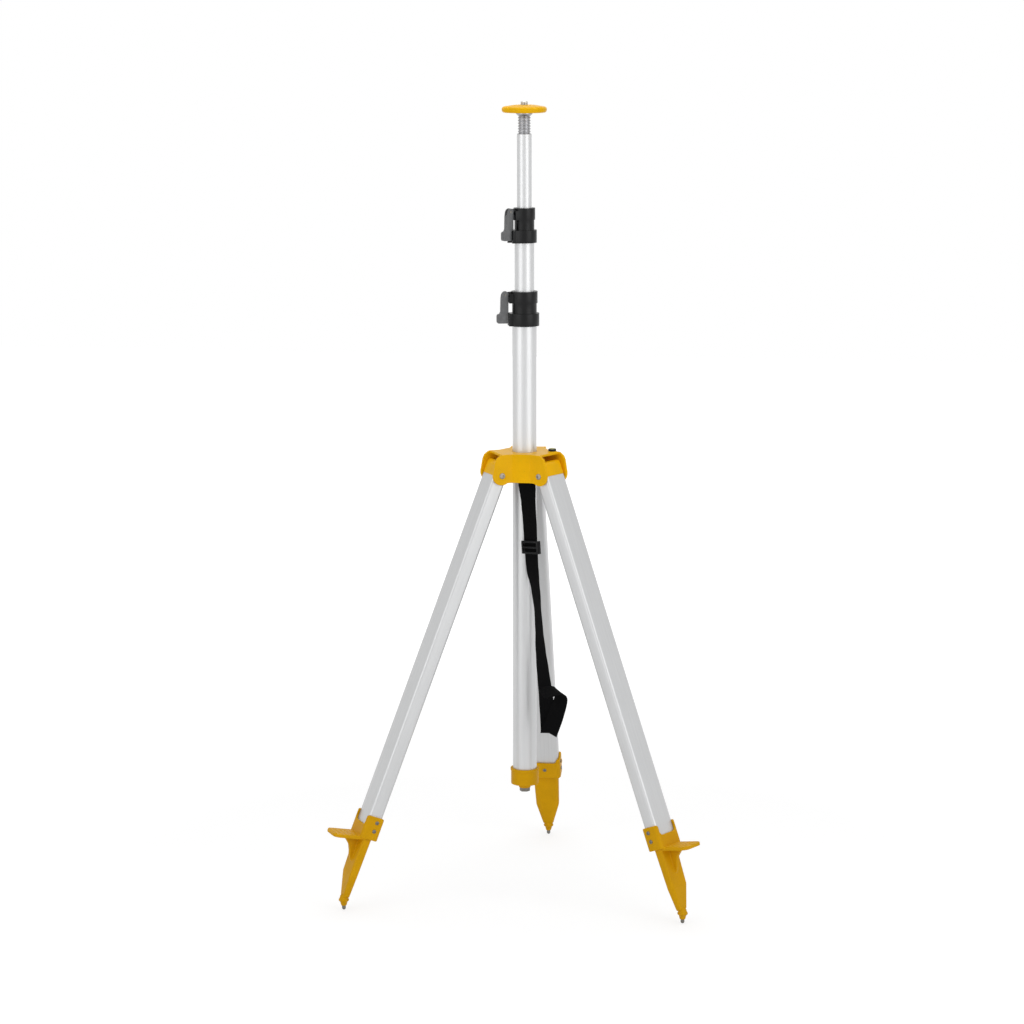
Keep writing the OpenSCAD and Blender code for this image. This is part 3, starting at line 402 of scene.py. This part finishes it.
def drawn_aluminium(name, colour, roughness, metallic):
    """Anodised tube with fine lines along its length."""
    paint = Paint(name, colour, roughness, metallic)
    lines = paint.noise(900, 2, 0.6, paint.place(DRAWN_STRETCH))
    wide_lines = paint.noise(160, 3, 0.5, paint.place(DRAWN_STRETCH))
    clouds = paint.noise(9, 3, 0.5)
    streaks = paint.mix(paint.spread(lines, 0.3, 0.7, 0, 1), tinted(colour, 0.95), tinted(colour, 1.04))
    paint.colour(paint.mix(paint.spread(clouds, 0.4, 0.7, 0, 0.5), streaks, tinted(colour, 0.96)))
    paint.roughness(paint.spread(wide_lines, 0.3, 0.7, roughness - 0.05, roughness + 0.06))
    paint.bump((lines, 0.05, 0.0001), (wide_lines, 0.06, 0.0002))
    return paint.material


def turned_metal(name, colour, roughness):
    """Bright metal with the rings that a lathe leaves."""
    paint = Paint(name, colour, roughness, 1.0)
    rings = paint.noise(1400, 2, 0.6, paint.place(TURNED_STRETCH))
    paint.colour(paint.mix(paint.spread(rings, 0.3, 0.7, 0, 1), tinted(colour, 0.86), tinted(colour, 1.05)))
    paint.roughness(paint.spread(rings, 0.3, 0.7, roughness - 0.05, roughness + 0.08))
    paint.bump((rings, 0.12, 0.0001))
    return paint.material


def plated_steel(name, colour, roughness):
    """Zinc-plated or bare steel with a slightly mottled face."""
    paint = Paint(name, colour, roughness, 1.0)
    mottle = paint.noise(220, 4, 0.6)
    shade = paint.spread(mottle, 0.35, 0.65, 0, 1)
    paint.colour(paint.mix(shade, tinted(colour, 0.78), tinted(colour, 1.08)))
    paint.roughness(paint.spread(mottle, 0.3, 0.7, roughness - 0.06, roughness + 0.1))
    paint.bump((mottle, 0.15, 0.0002))
    return paint.material


def moulded_plastic(name, colour, roughness, grain=700):
    """Filled nylon with an etched grain and faint scuffs."""
    paint = Paint(name, colour, roughness, specular=0.22)
    etched = paint.noise(grain, 3, 0.6)
    scuffs = paint.noise(60, 5, 0.7)
    paint.colour(paint.mix(paint.spread(scuffs, 0.5, 0.75, 0, 0.6), colour, tinted(colour, 1.7)))
    paint.roughness(paint.spread(scuffs, 0.3, 0.7, roughness - 0.05, roughness + 0.08))
    paint.bump((etched, 0.22, 0.0003))
    return paint.material


WEAVE_PITCH = 1.6 * MM
CHEVRON_W = 4.5 * MM


def woven_webbing(name, colour):
    """Webbing whose slanting ribs meet in rows of chevrons, from the strap's UV map in metres."""
    paint = Paint(name, colour, 0.82, specular=0.05)
    uv = paint.node("ShaderNodeUVMap", uv_map="strap")
    split = paint.node("ShaderNodeSeparateXYZ")
    paint.link(uv.outputs["UV"], split.inputs["Vector"])

    def calculate(kind, a, b=None):
        step = paint.node("ShaderNodeMath", operation=kind)
        for i, value in enumerate((a, b)):
            if value is None:
                continue
            if hasattr(value, "is_linked"):
                paint.link(value, step.inputs[i])
            else:
                step.inputs[i].default_value = value
        return step.outputs["Value"]

    chevron = calculate("PINGPONG", split.outputs["X"], CHEVRON_W)
    slant = calculate("ADD", calculate("MULTIPLY", chevron, 0.8), split.outputs["Y"])
    turns = math.tau / WEAVE_PITCH
    ribs = calculate("SINE", calculate("MULTIPLY", slant, turns))
    threads = calculate("SINE", calculate("MULTIPLY", split.outputs["X"], turns / 0.6))
    height = calculate("ADD", ribs, calculate("MULTIPLY", threads, 0.5))
    fuzz = paint.noise(1500, 3, 0.7)
    # The colour follows the weave's height: painted shade in the grooves and a painted highlight on the ribs.
    paint.colour(paint.mix(paint.spread(height, -1.2, 1.2, 0, 1), tinted(colour, 0.5), tinted(colour, 1.6)))
    paint.bump((height, 0.5, 0.0003), (fuzz, 0.35, 0.0003))
    return paint.material


def level_fluid(name, colour):
    """The level's clear cap over its green fluid."""
    paint = Paint(name, colour, 0.06)
    swirl = paint.noise(120, 2, 0.5)
    paint.colour(paint.mix(paint.spread(swirl, 0.3, 0.7, 0, 1), tinted(colour, 0.85), tinted(colour, 1.1)))
    paint.set("Transmission Weight", 0.35)
    paint.set("IOR", 1.49)
    paint.set("Coat Weight", 1.0)
    paint.set("Coat Roughness", 0.03)
    return paint.material


YELLOW = (0.93, 0.50, 0.002)
FOOT_YELLOW = (0.70, 0.36, 0.002)
materials = {
    "hub_yellow": powder_coat("hub_yellow", YELLOW, 0.36),
    "foot_yellow": powder_coat("foot_yellow", FOOT_YELLOW, 0.42),
    "mast_aluminium": drawn_aluminium("mast_aluminium", (0.66, 0.665, 0.67), 0.36, 0.55),
    "leg_aluminium": drawn_aluminium("leg_aluminium", (0.60, 0.605, 0.61), 0.44, 0.6),
    "stem_aluminium": turned_metal("stem_aluminium", (0.36, 0.36, 0.37), 0.28),
    "steel": plated_steel("steel", (0.60, 0.59, 0.56), 0.32),
    "dark_steel": plated_steel("dark_steel", (0.20, 0.19, 0.17), 0.45),
    "worn_steel": plated_steel("worn_steel", (0.36, 0.33, 0.28), 0.5),
    "clamp_black": moulded_plastic("clamp_black", (0.004, 0.0042, 0.0046), 0.32),
    "lever_grey": moulded_plastic("lever_grey", (0.150, 0.152, 0.155), 0.46),
    "inner_plastic": moulded_plastic("inner_plastic", (0.05, 0.05, 0.055), 0.5),
    "level_glass": level_fluid("level_glass", (0.46, 0.44, 0.10)),
    "webbing": woven_webbing("webbing", (0.0035, 0.0035, 0.0038)),
    "buckle_black": moulded_plastic("buckle_black", (0.004, 0.004, 0.0045), 0.36, grain=1200),
}


# Pieces whose steel is duller than that of the others in their slot
DULL_PIECES = {
    "pivot_bolts": "worn_steel",
    "pivot_nuts": "worn_steel",
    "cap_bolt": "dark_steel",
    "lower_lever_pin": "dark_steel",
    "upper_lever_pin": "dark_steel",
    "left_foot_screws": "dark_steel",
    "right_foot_screws": "dark_steel",
    "rear_foot_screws": "dark_steel",
}


def stand_for(node, mesh, slot, matrix=None, name=None):
    """Shows a mesh in a CAD node's place, on the node's body and in its material."""
    obj = new_object(name or node + "_skin", mesh)
    if matrix is not None:
        obj.matrix_world = matrix
    obj.data.materials.clear()
    obj.data.materials.append(materials[DULL_PIECES.get(node, slot)])
    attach(obj, nodes[node]["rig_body"])
    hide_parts(node)
    return obj


node_slot = {part["node"]: part["material_slot"] for part in frame["record"]["subparts"]}
for node, obj in nodes.items():
    material = materials[DULL_PIECES.get(node, node_slot[node])]
    if obj.data.materials:
        for i in range(len(obj.data.materials)):
            obj.data.materials[i] = material
    else:
        obj.data.materials.append(material)
    smooth(obj.data, SHARP_DEG)


# Hub

hub_low, hub_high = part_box("hub_casting")
base_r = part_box("base_tube")[1].x
BORE_GAP = 0.1 * MM
BORE_OVERRUN = 10 * MM
HUB_VOXEL = 0.8 * MM
HUB_ROUNDS = 7


def make_hub():
    mesh = cast(cad_copy("hub_casting"), HUB_VOXEL, HUB_ROUNDS)
    bore = cylinder_mesh(base_r + BORE_GAP, hub_low.z - BORE_OVERRUN, hub_high.z + BORE_OVERRUN, 96)
    stand_for("hub_casting", cut(mesh, bore), "hub_yellow")


make_hub()


# Legs, each in its own place: pivot at the origin, tube along -Z and outer side towards +X

def leg_place(side):
    joint = [j for j in frame["joints"] if j["name"] == side + "_leg_fold"][0]
    lean = math.radians(joint["range_deg"][1])
    tangent = Vector(joint["axis"])
    radial = tangent.cross(UP)
    out = radial * math.cos(lean) + UP * math.sin(lean)
    back = UP * math.cos(lean) - radial * math.sin(lean)
    place = Matrix((out, tangent, back)).transposed().to_4x4()
    place.translation = Vector(joint["pos_m"])
    return place


leg_places = {side: leg_place(side) for side in ("left", "right", "rear")}
to_left_leg = leg_places["left"].inverted()
LEG_CORNER = 5.5 * MM
LEG_WALL = 1.6 * MM
LEG_CHAMFER = 0.3 * MM
LEG_HEAD_EDGE = 1 * MM
FOOT_VOXEL = 0.9 * MM
FOOT_ROUNDS = 6
SOCKET_GAP = 0.15 * MM


def leg_tube_mesh():
    low, high = mesh_box(cad_copy("left_leg_tube", to_left_leg))
    depth, width = high.x - low.x, high.y - low.y
    outer, inner, edge = [rounded_rectangle(depth - 2 * t, width - 2 * t, LEG_CORNER - t)
                          for t in (0, LEG_WALL, LEG_CHAMFER)]
    loops = [(inner, low.z), (edge, low.z), (outer, low.z + LEG_CHAMFER), (outer, high.z - LEG_CHAMFER),
             (edge, high.z), (inner, high.z)]
    n = len(outer)
    points = [(x, y, z) for loop, z in loops for x, y in loop]
    faces = []
    for k in range(len(loops)):
        faces += band(k * n, (k + 1) % len(loops) * n, n)
    return smooth(mesh_from("leg_tube", points, faces), 25)


def foot_mesh():
    mesh = cast(cad_copy("left_foot", to_left_leg), FOOT_VOXEL, FOOT_ROUNDS)
    low, high = mesh_box(cad_copy("left_leg_tube", to_left_leg))
    depth, width = high.x - low.x + 2 * SOCKET_GAP, high.y - low.y + 2 * SOCKET_GAP
    outline = rounded_rectangle(depth, width, LEG_CORNER + SOCKET_GAP)
    return cut(mesh, prism_mesh("socket", outline, low.z - SOCKET_GAP, high.z))


def make_legs():
    tube = leg_tube_mesh()
    foot = foot_mesh()
    head = bevelled(cad_copy("left_leg_head", to_left_leg), LEG_HEAD_EDGE)
    for side, place in leg_places.items():
        stand_for(side + "_leg_tube", tube, "leg_aluminium", place)
        stand_for(side + "_foot", foot, "foot_yellow", place)
        stand_for(side + "_leg_head", head, "hub_yellow", place)


make_legs()


# Pivot screws and their nuts, along each leg place's Y

PIVOT_HEAD_R = 6.2 * MM
PIVOT_HEAD_T = 2.6 * MM
PIVOT_HEAD_EDGE = 0.5 * MM
PIVOT_SHANK_R = 4 * MM
KEY_R = 3 * MM
KEY_DEPTH = 1.8 * MM
KEY_OVERRUN = 1 * MM
# Points of the three bolts within this distance of a leg's pivot axis belong to its own bolt.
PIVOT_REACH = 12 * MM
# The nuts are drawn as heads on a shank of next to no length.
NUT_SHANK = 0.01 * MM


def pivot_screw_mesh(shank_low, shank_high):
    """A low head with a hexagonal recess, its seat at Z = 0, on a shank between two heights."""
    r, t = PIVOT_HEAD_R, PIVOT_HEAD_T
    head = [(0, 0), (r, 0), (r, 0.35 * t), (0.82 * r, 0.9 * t), (0.55 * r, t), (0, t)]
    corners = [math.radians(a) for a in range(0, 360, 60)]
    hexagon = [(KEY_R * math.cos(a), KEY_R * math.sin(a)) for a in corners]
    key = prism_mesh("key", hexagon, t - KEY_DEPTH, t + KEY_OVERRUN)
    mesh = cut(lathe_mesh("head", round_profile(head, PIVOT_HEAD_EDGE), 48), key)
    shank = cylinder_mesh(PIVOT_SHANK_R, shank_low, shank_high, 32)
    return smooth(joined("screw", [mesh, shank]), 40)


def make_pivot_screws():
    bolts = cad_copy("pivot_bolts", to_left_leg)
    ends = [v.co.y for v in bolts.vertices if max(abs(v.co.x), abs(v.co.z)) < PIVOT_REACH]
    seat = max(ends) - PIVOT_HEAD_T
    bolt = pivot_screw_mesh(min(ends) - seat, 0)
    nut = pivot_screw_mesh(0, NUT_SHANK)
    for name, mesh, side in (("bolts", bolt, 1), ("nuts", nut, -1)):
        to_seat = Matrix.Translation((0, side * seat, 0)) @ Matrix.Rotation(math.radians(-90 * side), 4, "X")
        screws = [moved(mesh, place @ to_seat) for place in leg_places.values()]
        stand_for("pivot_" + name, joined(name, screws), "steel")


make_pivot_screws()


# Circular level

VIAL_GAP = 0.05 * MM
CUP_EDGE = 0.5 * MM
DOME_STEPS = 10


def make_level():
    cup_low, cup_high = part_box("level_cup")
    vial_low, vial_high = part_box("level_vial")
    place = Matrix.Translation(((cup_low.x + cup_high.x) / 2, (cup_low.y + cup_high.y) / 2, cup_low.z))
    cup_r = (cup_high.x - cup_low.x) / 2
    vial_r = (vial_high.x - vial_low.x) / 2
    floor, rim, dome = vial_low.z - cup_low.z, cup_high.z - cup_low.z, vial_high.z - cup_low.z
    bore, bed = vial_r + VIAL_GAP, floor - VIAL_GAP
    wall = [(0, 0), (cup_r, 0), (cup_r, rim), (bore, rim), (bore, bed), (0, bed)]
    stand_for("level_cup", smooth(lathe_mesh("cup", round_profile(wall, CUP_EDGE))), "clamp_black", place)
    cap = [(0, floor), (vial_r, floor), (vial_r, rim)]
    for i in range(1, DOME_STEPS + 1):
        a = math.pi / 2 * i / DOME_STEPS
        cap.append((vial_r * math.cos(a) if i < DOME_STEPS else 0, rim + (dome - rim) * math.sin(a)))
    stand_for("level_vial", smooth(lathe_mesh("vial", cap), 50), "level_glass", place)


make_level()


# Mast cap and clamps, which keep their CAD shapes and get round edges

CAP_EDGE = 0.9 * MM
COLLAR_EDGE = 0.8 * MM
LEVER_EDGE = 1.1 * MM


def make_mast():
    stand_for("mast_cap", bevelled(cad_copy("mast_cap"), CAP_EDGE), "foot_yellow")
    for clamp in ("lower", "upper"):
        stand_for(clamp + "_collar", bevelled(cad_copy(clamp + "_collar"), COLLAR_EDGE), "clamp_black")
        stand_for(clamp + "_lever", bevelled(cad_copy(clamp + "_lever"), LEVER_EDGE), "lever_grey")


make_mast()


# Strap

PIVOT_Z = leg_places["rear"].translation.z
STRAP_W = 36 * MM
STRAP_T = 1.5 * MM
STRAP_STEP = 3.5 * MM
BUCKLE_EDGE = 0.8 * MM
# The strap's places below the leg pivots and the ways its width points, as in the part's source, in mm
STRAP_ROUTE_MM = [
    ((11, -46.5, -6.5), (1, 0, 0)),
    ((11, -46.5, -17), (1, 0, 0)),
    ((12, -46.5, -27), (1, -0.15, 0)),
    ((13, -47, -40), (1, -0.35, 0)),
    ((14, -48, -54), (1, -0.5, 0)),
    ((17, -50, -92), (1, -0.6, 0)),
    ((20.5, -53, -150), (1, -0.7, 0)),
    ((24, -56, -196), (1, -0.8, 0)),
    ((31, -60, -238), (1, -1.3, 0)),
    ((36, -65, -280), (1, -1.7, 0)),
    ((39.5, -69, -321), (1, -1.5, 0)),
    ((43, -72, -363), (1, -1.1, 0)),
    ((48, -76, -404), (1, -0.8, 0)),
    ((53.5, -80, -446), (1, -0.6, 0)),
    ((58, -82.5, -488), (1, -0.4, 0)),
    ((61.5, -84, -529), (1, -0.27, 0)),
    ((62, -85.5, -533), (1, -0.26, -0.05)),
    ((62.5, -88.5, -535), (1, -0.28, -0.12)),
    ((63.5, -92, -534), (1, -0.3, -0.25)),
    ((65, -94, -530.5), (1, -0.33, -0.38)),
    ((75, -97.5, -506), (0.85, -0.41, -0.33)),
    ((83.5, -101, -480.5), (0.82, -0.49, -0.28)),
    ((90, -104.5, -455), (0.78, -0.57, -0.25)),
    ((90.5, -105.5, -450), (0.75, -0.61, -0.23)),
    ((90, -107.5, -445.5), (0.72, -0.65, -0.24)),
    ((88.5, -110, -442), (0.68, -0.7, -0.25)),
    ((86, -112.5, -439.5), (0.64, -0.74, -0.27)),
    ((82.5, -115, -438), (0.58, -0.76, -0.3)),
    ((78.5, -117.5, -437.5), (0.54, -0.78, -0.34)),
    ((66, -124, -439), (0.49, -0.77, -0.41)),
    ((53, -130.5, -442), (0.5, -0.76, -0.41)),
]


def strap_spans():
    """Place, direction, width direction and distance at even steps along the strap."""
    places = [Vector(p) * MM + UP * PIVOT_Z for p, w in STRAP_ROUTE_MM]
    widths = [Vector(w).normalized() for p, w in STRAP_ROUTE_MM]
    times = [0]
    for a, b in zip(places, places[1:]):
        times.append(times[-1] + (b - a).length)
    last = len(places) - 1
    slopes = []
    for i in range(last + 1):
        back = (places[i] - places[i - 1]) / (times[i] - times[i - 1]) if i > 0 else None
        ahead = (places[i + 1] - places[i]) / (times[i + 1] - times[i]) if i < last else None
        if back is None or ahead is None:
            slopes.append(back or ahead)
            continue
        share = (times[i] - times[i - 1]) / (times[i + 1] - times[i - 1])
        slopes.append(back * (1 - share) + ahead * share)
    out = []
    for i in range(last):
        span = times[i + 1] - times[i]
        steps = max(1, round(span / STRAP_STEP))
        for k in range(steps + (i == last - 1)):
            t = k / steps
            s = t * t * (3 - 2 * t)
            place = ((1 - s) * places[i] + (t ** 3 - 2 * t ** 2 + t) * span * slopes[i]
                     + s * places[i + 1] + (t ** 3 - t ** 2) * span * slopes[i + 1])
            out.append((place, widths[i].lerp(widths[i + 1], s)))
    spans, distance = [], 0
    for i, (place, width) in enumerate(out):
        before, after = out[max(i - 1, 0)][0], out[min(i + 1, len(out) - 1)][0]
        along = (after - before).normalized()
        across = (width - width.dot(along) * along).normalized()
        if i:
            distance += (place - out[i - 1][0]).length
        spans.append((place, along, across, distance))
    return spans


def webbing_section(width, thickness):
    """Points across webbing, whose edges are a little fuller than its middle."""
    half, edge = width / 2, thickness / 2
    left = [(-half, 0), (-half + 0.25 * edge, 0.75 * edge), (-half + edge, edge),
            (-half + 3 * edge, 0.95 * edge), (-half / 2, 0.85 * edge)]
    top = left + [(0, 0.85 * edge)] + [(-x, y) for x, y in reversed(left)]
    return top + [(x, -y) for x, y in reversed(top[1:-1])]


def ribbon_mesh(name, spans):
    """Webbing along spans, with a UV map in metres."""
    section = webbing_section(STRAP_W, STRAP_T)
    n = len(section)
    points = []
    for place, along, across, distance in spans:
        out = along.cross(across)
        points += [place + across * x + out * y for x, y in section]
    faces = [tuple(range(n)), tuple(reversed(range(len(points) - n, len(points))))]
    for i in range(len(spans) - 1):
        faces += band((i + 1) * n, i * n, n)
    mesh = mesh_from(name, points, faces)
    layer = mesh.uv_layers.new(name="strap")
    for loop in mesh.loops:
        i, k = divmod(loop.vertex_index, n)
        layer.data[loop.index].uv = (section[k][0], spans[i][3])
    return smooth(mesh, None)


def make_strap():
    spans = strap_spans()
    strap = stand_for("carry_strap", ribbon_mesh("strap", spans), "webbing", name="strap_webbing")


make_strap()
stand_for("strap_buckle", bevelled(cad_copy("strap_buckle"), BUCKLE_EDGE), "buckle_black")


# Head plate

plate_low, plate_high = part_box("head_plate")
stud_low, stud_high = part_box("mounting_stud")
PLATE_GAP = 0.06 * MM
PLATE_EDGE = 1.6 * MM
# The flat middle of the plate's top, and its height over the end of the slope round it
PLATE_FLAT_R = 20 * MM
PLATE_SLOPE_H = 3.5 * MM
# Widths and heights of the bevels at the rim and at the bore, on the upper and on the lower side
UPPER_RIM = (3 * MM, 3 * MM)
LOWER_RIM = (3 * MM, 3.2 * MM)
UPPER_MOUTH = (1.2 * MM, 1 * MM)
LOWER_MOUTH = (2 * MM, 0.2 * MM)


def make_head_plate():
    rim, low, high = plate_high.x, plate_low.z, plate_high.z
    bore = stud_high.x + PLATE_GAP
    slope_low = high - PLATE_SLOPE_H
    corners = [(bore, low + LOWER_MOUTH[1]), (bore + LOWER_MOUTH[0], low),
               (rim - LOWER_RIM[0], low), (rim, low + LOWER_RIM[1]),
               (rim, slope_low - UPPER_RIM[1]), (rim - UPPER_RIM[0], slope_low),
               (PLATE_FLAT_R, high), (bore + UPPER_MOUTH[0], high), (bore, high - UPPER_MOUTH[1])]
    profile = round_profile(corners, PLATE_EDGE)
    profile.append(profile[0])
    stand_for("head_plate", smooth(lathe_mesh("plate", profile, 128), 40), "hub_yellow")


make_head_plate()


# Ribbed stem: a plug in the top tube, a collar on the tube's end, a ribbed neck and a flange

stem_low, stem_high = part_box("ribbed_stem")
tube_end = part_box("top_tube")[1].z
PLUG_R = 13.2 * MM
NECK_R = 11.4 * MM
NECK_H = 36 * MM
RIB_COUNT = 6
RIB_T = 1.6 * MM
# A rib's outline, as shares of the distance between ribs and of their thickness
RIB_OUTLINE = [(0.22, 0), (0.30, 0.1), (0.38, 0.55), (0.46, 0.92), (0.56, 1), (0.66, 1), (0.76, 0.92),
               (0.84, 0.55), (0.92, 0.1), (1.0, 0)]
# The collar's outline in mm, as radii and heights over the tube's end
COLLAR_MM = [(14.2, 0), (14.4, 0.5), (11.6, 1.6)]
# The flare from neck to flange in mm, as distances from the neck's side and heights over the neck's top
FLARE_MM = [(0, -0.6), (0.6, 0.4), (1.6, 0.8)]
# The flange's outline in mm, as distances from its rim and heights over the neck's top
FLANGE_MM = [(-2, 3), (0, 4.4)]
FLANGE_BEVEL = (0.6 * MM, 0.4 * MM)
FLANGE_EDGE = 0.8 * MM


def make_stem():
    rim, top, neck_top = stem_high.x, stem_high.z, tube_end + NECK_H
    profile = [(0, stem_low.z), (PLUG_R, stem_low.z), (PLUG_R, tube_end)]
    profile += [(r * MM, tube_end + z * MM) for r, z in COLLAR_MM]
    ribs_low = profile[-1][1]
    pitch = NECK_H / (RIB_COUNT + 0.5)
    for i in range(RIB_COUNT):
        profile += [(NECK_R + RIB_T * thick, ribs_low + (i + share) * pitch) for share, thick in RIB_OUTLINE]
    flare = [(NECK_R + x * MM, neck_top + z * MM) for x, z in FLARE_MM]
    flange = [(rim + x * MM, neck_top + z * MM) for x, z in FLANGE_MM]
    flange += [(rim, top - FLANGE_BEVEL[1]), (rim - FLANGE_BEVEL[0], top)]
    profile += flare[:-1] + round_profile(flare[-1:] + flange, FLANGE_EDGE)
    profile.append((0, top))
    stand_for("ribbed_stem", smooth(lathe_mesh("stem", profile, 96), 30), "stem_aluminium")


make_stem()


# Mounting stud, with its 11 threads an inch wound as a single right-handed helix

THREAD_PITCH = 25.4 * MM / 11
THREAD_DEPTH = 1.25 * MM
# Distances from the plate's top down to the thread's start, and from the thread's root in to the shank
THREAD_LEAD = 0.9 * MM
SHANK_RELIEF = 0.1 * MM
# The stud's end narrows from the thread's crest to about its root over this height. The end keeps this
# share of the distance from the crest to a circle this far inside the root.
TIP_H = 1.3 * MM
TIP_SHARE = 0.25
TIP_INSET = 0.4 * MM
# A tooth's height falls with the distance from its middle, in turns, and is cut off at its full depth.
TOOTH_HEIGHT = 1.25
TOOTH_FALL = 3.6
STUD_SEGMENTS = 72
STUD_RINGS = 60


def make_stud():
    low, high = stud_low.z, stud_high.z
    root = stud_high.x - THREAD_DEPTH
    start = plate_high.z - THREAD_LEAD
    n = STUD_SEGMENTS
    points, faces = [], []
    for k in range(STUD_RINGS + 1):
        z = start + (high - start) * k / STUD_RINGS
        full = TIP_SHARE + (1 - TIP_SHARE) * min(1, (high - z) / TIP_H)
        widest = root - TIP_INSET + (THREAD_DEPTH + TIP_INSET) * full
        for i in range(n):
            phase = ((z - start) / THREAD_PITCH - i / n) % 1
            tooth = max(0, min(1, TOOTH_HEIGHT - abs(phase - 0.5) * TOOTH_FALL))
            r = min(root + THREAD_DEPTH * tooth, widest)
            points.append((r * math.cos(math.tau * i / n), r * math.sin(math.tau * i / n), z))
    for k in range(STUD_RINGS):
        faces += band(k * n, (k + 1) * n, n)
    rim, centre = STUD_RINGS * n, len(points)
    points.append((0, 0, high))
    faces += [(rim + i, rim + (i + 1) % n, centre) for i in range(n)]
    foot = len(points)
    points += ring(root - SHANK_RELIEF, low, n)
    faces += band(foot, 0, n)
    faces.append(tuple(reversed(range(foot, foot + n))))
    stand_for("mounting_stud", smooth(mesh_from("stud", points, faces), 40), "steel")


make_stud()


# Stage: a white backdrop for the camera and for reflections, over soft light at a plain level

SKY_LIGHT = 0.36
BACKDROP_LIGHT = 1.0
FLOOR_HALF = 9
FLOOR_GLOW = 1.2
FLOOR_GLOW_SHARE = 0.65
# The floor takes shadows near the tripod and turns into the backdrop's white between these distances.
SHADOW_FLOOR_R = 0.9
WHITE_FLOOR_R = 2.6
DIRECT_RAYS = ("Is Camera Ray", "Is Glossy Ray", "Is Transmission Ray")


def seen_directly(tree):
    """A socket that is 1 for the camera's, glossy and transmitted rays and 0 for the others."""
    path = tree.nodes.new("ShaderNodeLightPath")
    seen = path.outputs[DIRECT_RAYS[0]]
    for ray in DIRECT_RAYS[1:]:
        either = tree.nodes.new("ShaderNodeMath")
        either.operation = "MAXIMUM"
        tree.links.new(seen, either.inputs[0])
        tree.links.new(path.outputs[ray], either.inputs[1])
        seen = either.outputs[0]
    return seen


def add_world():
    world = bpy.data.worlds.new("studio")
    bpy.context.scene.world = world
    world.use_nodes = True
    tree = world.node_tree
    tree.nodes.clear()
    choose = tree.nodes.new("ShaderNodeMixShader")
    tree.links.new(seen_directly(tree), choose.inputs[0])
    for i, strength in ((1, SKY_LIGHT), (2, BACKDROP_LIGHT)):
        sky = tree.nodes.new("ShaderNodeBackground")
        sky.inputs["Color"].default_value = (1, 1, 1, 1)
        sky.inputs["Strength"].default_value = strength
        tree.links.new(sky.outputs[0], choose.inputs[i])
    out = tree.nodes.new("ShaderNodeOutputWorld")
    tree.links.new(choose.outputs[0], out.inputs["Surface"])


def add_floor():
    corners = [(x * FLOOR_HALF, y * FLOOR_HALF, 0) for x, y in ((-1, -1), (1, -1), (1, 1), (-1, 1))]
    floor = new_object("floor", mesh_from("floor", corners, [(0, 1, 2, 3)]))
    paint = Paint("pale_floor", (0.84, 0.84, 0.84), 0.8)
    tree = paint.tree
    glow = paint.node("ShaderNodeEmission")
    glow.inputs["Color"].default_value = (1, 1, 1, 1)
    glow.inputs["Strength"].default_value = FLOOR_GLOW
    share = paint.node("ShaderNodeMath", operation="MULTIPLY")
    paint.link(seen_directly(tree), share.inputs[0])
    distance = paint.node("ShaderNodeVectorMath", operation="LENGTH")
    paint.link(paint.place((1, 1, 1)), distance.inputs[0])
    glow_share = paint.spread(distance.outputs["Value"], SHADOW_FLOOR_R, WHITE_FLOOR_R, FLOOR_GLOW_SHARE, 1)
    paint.link(glow_share, share.inputs[1])
    both = paint.node("ShaderNodeMixShader")
    paint.link(share.outputs[0], both.inputs[0])
    paint.link(paint.shader.outputs[0], both.inputs[1])
    paint.link(glow.outputs[0], both.inputs[2])
    paint.link(both.outputs[0], tree.nodes["Material Output"].inputs["Surface"])
    floor.data.materials.append(paint.material)


def add_lamp(name, place, target, size, power):
    data = bpy.data.lights.new(name, "AREA")
    data.shape = "RECTANGLE"
    data.size, data.size_y = size
    data.energy = power
    lamp = new_object(name, data)
    lamp.location = place
    lamp.rotation_euler = (Vector(target) - Vector(place)).to_track_quat("-Z", "Y").to_euler()


# Each lamp's name, place, target, size in metres and power in watts
LAMPS = [
    ("left_light", (-2.6, -3.2, 1.9), (0, 0, 0.9), (3.2, 3.6), 46),
    ("right_light", (3.4, -2.6, 1.9), (0, 0, 0.9), (3.2, 3.6), 60),
    ("top_light", (0, 0.3, 4.4), (0, 0, 1), (2.6, 2.6), 52),
]
add_world()
add_floor()
for lamp in LAMPS:
    add_lamp(*lamp)

bpy.context.scene.view_settings.view_transform = "Standard"
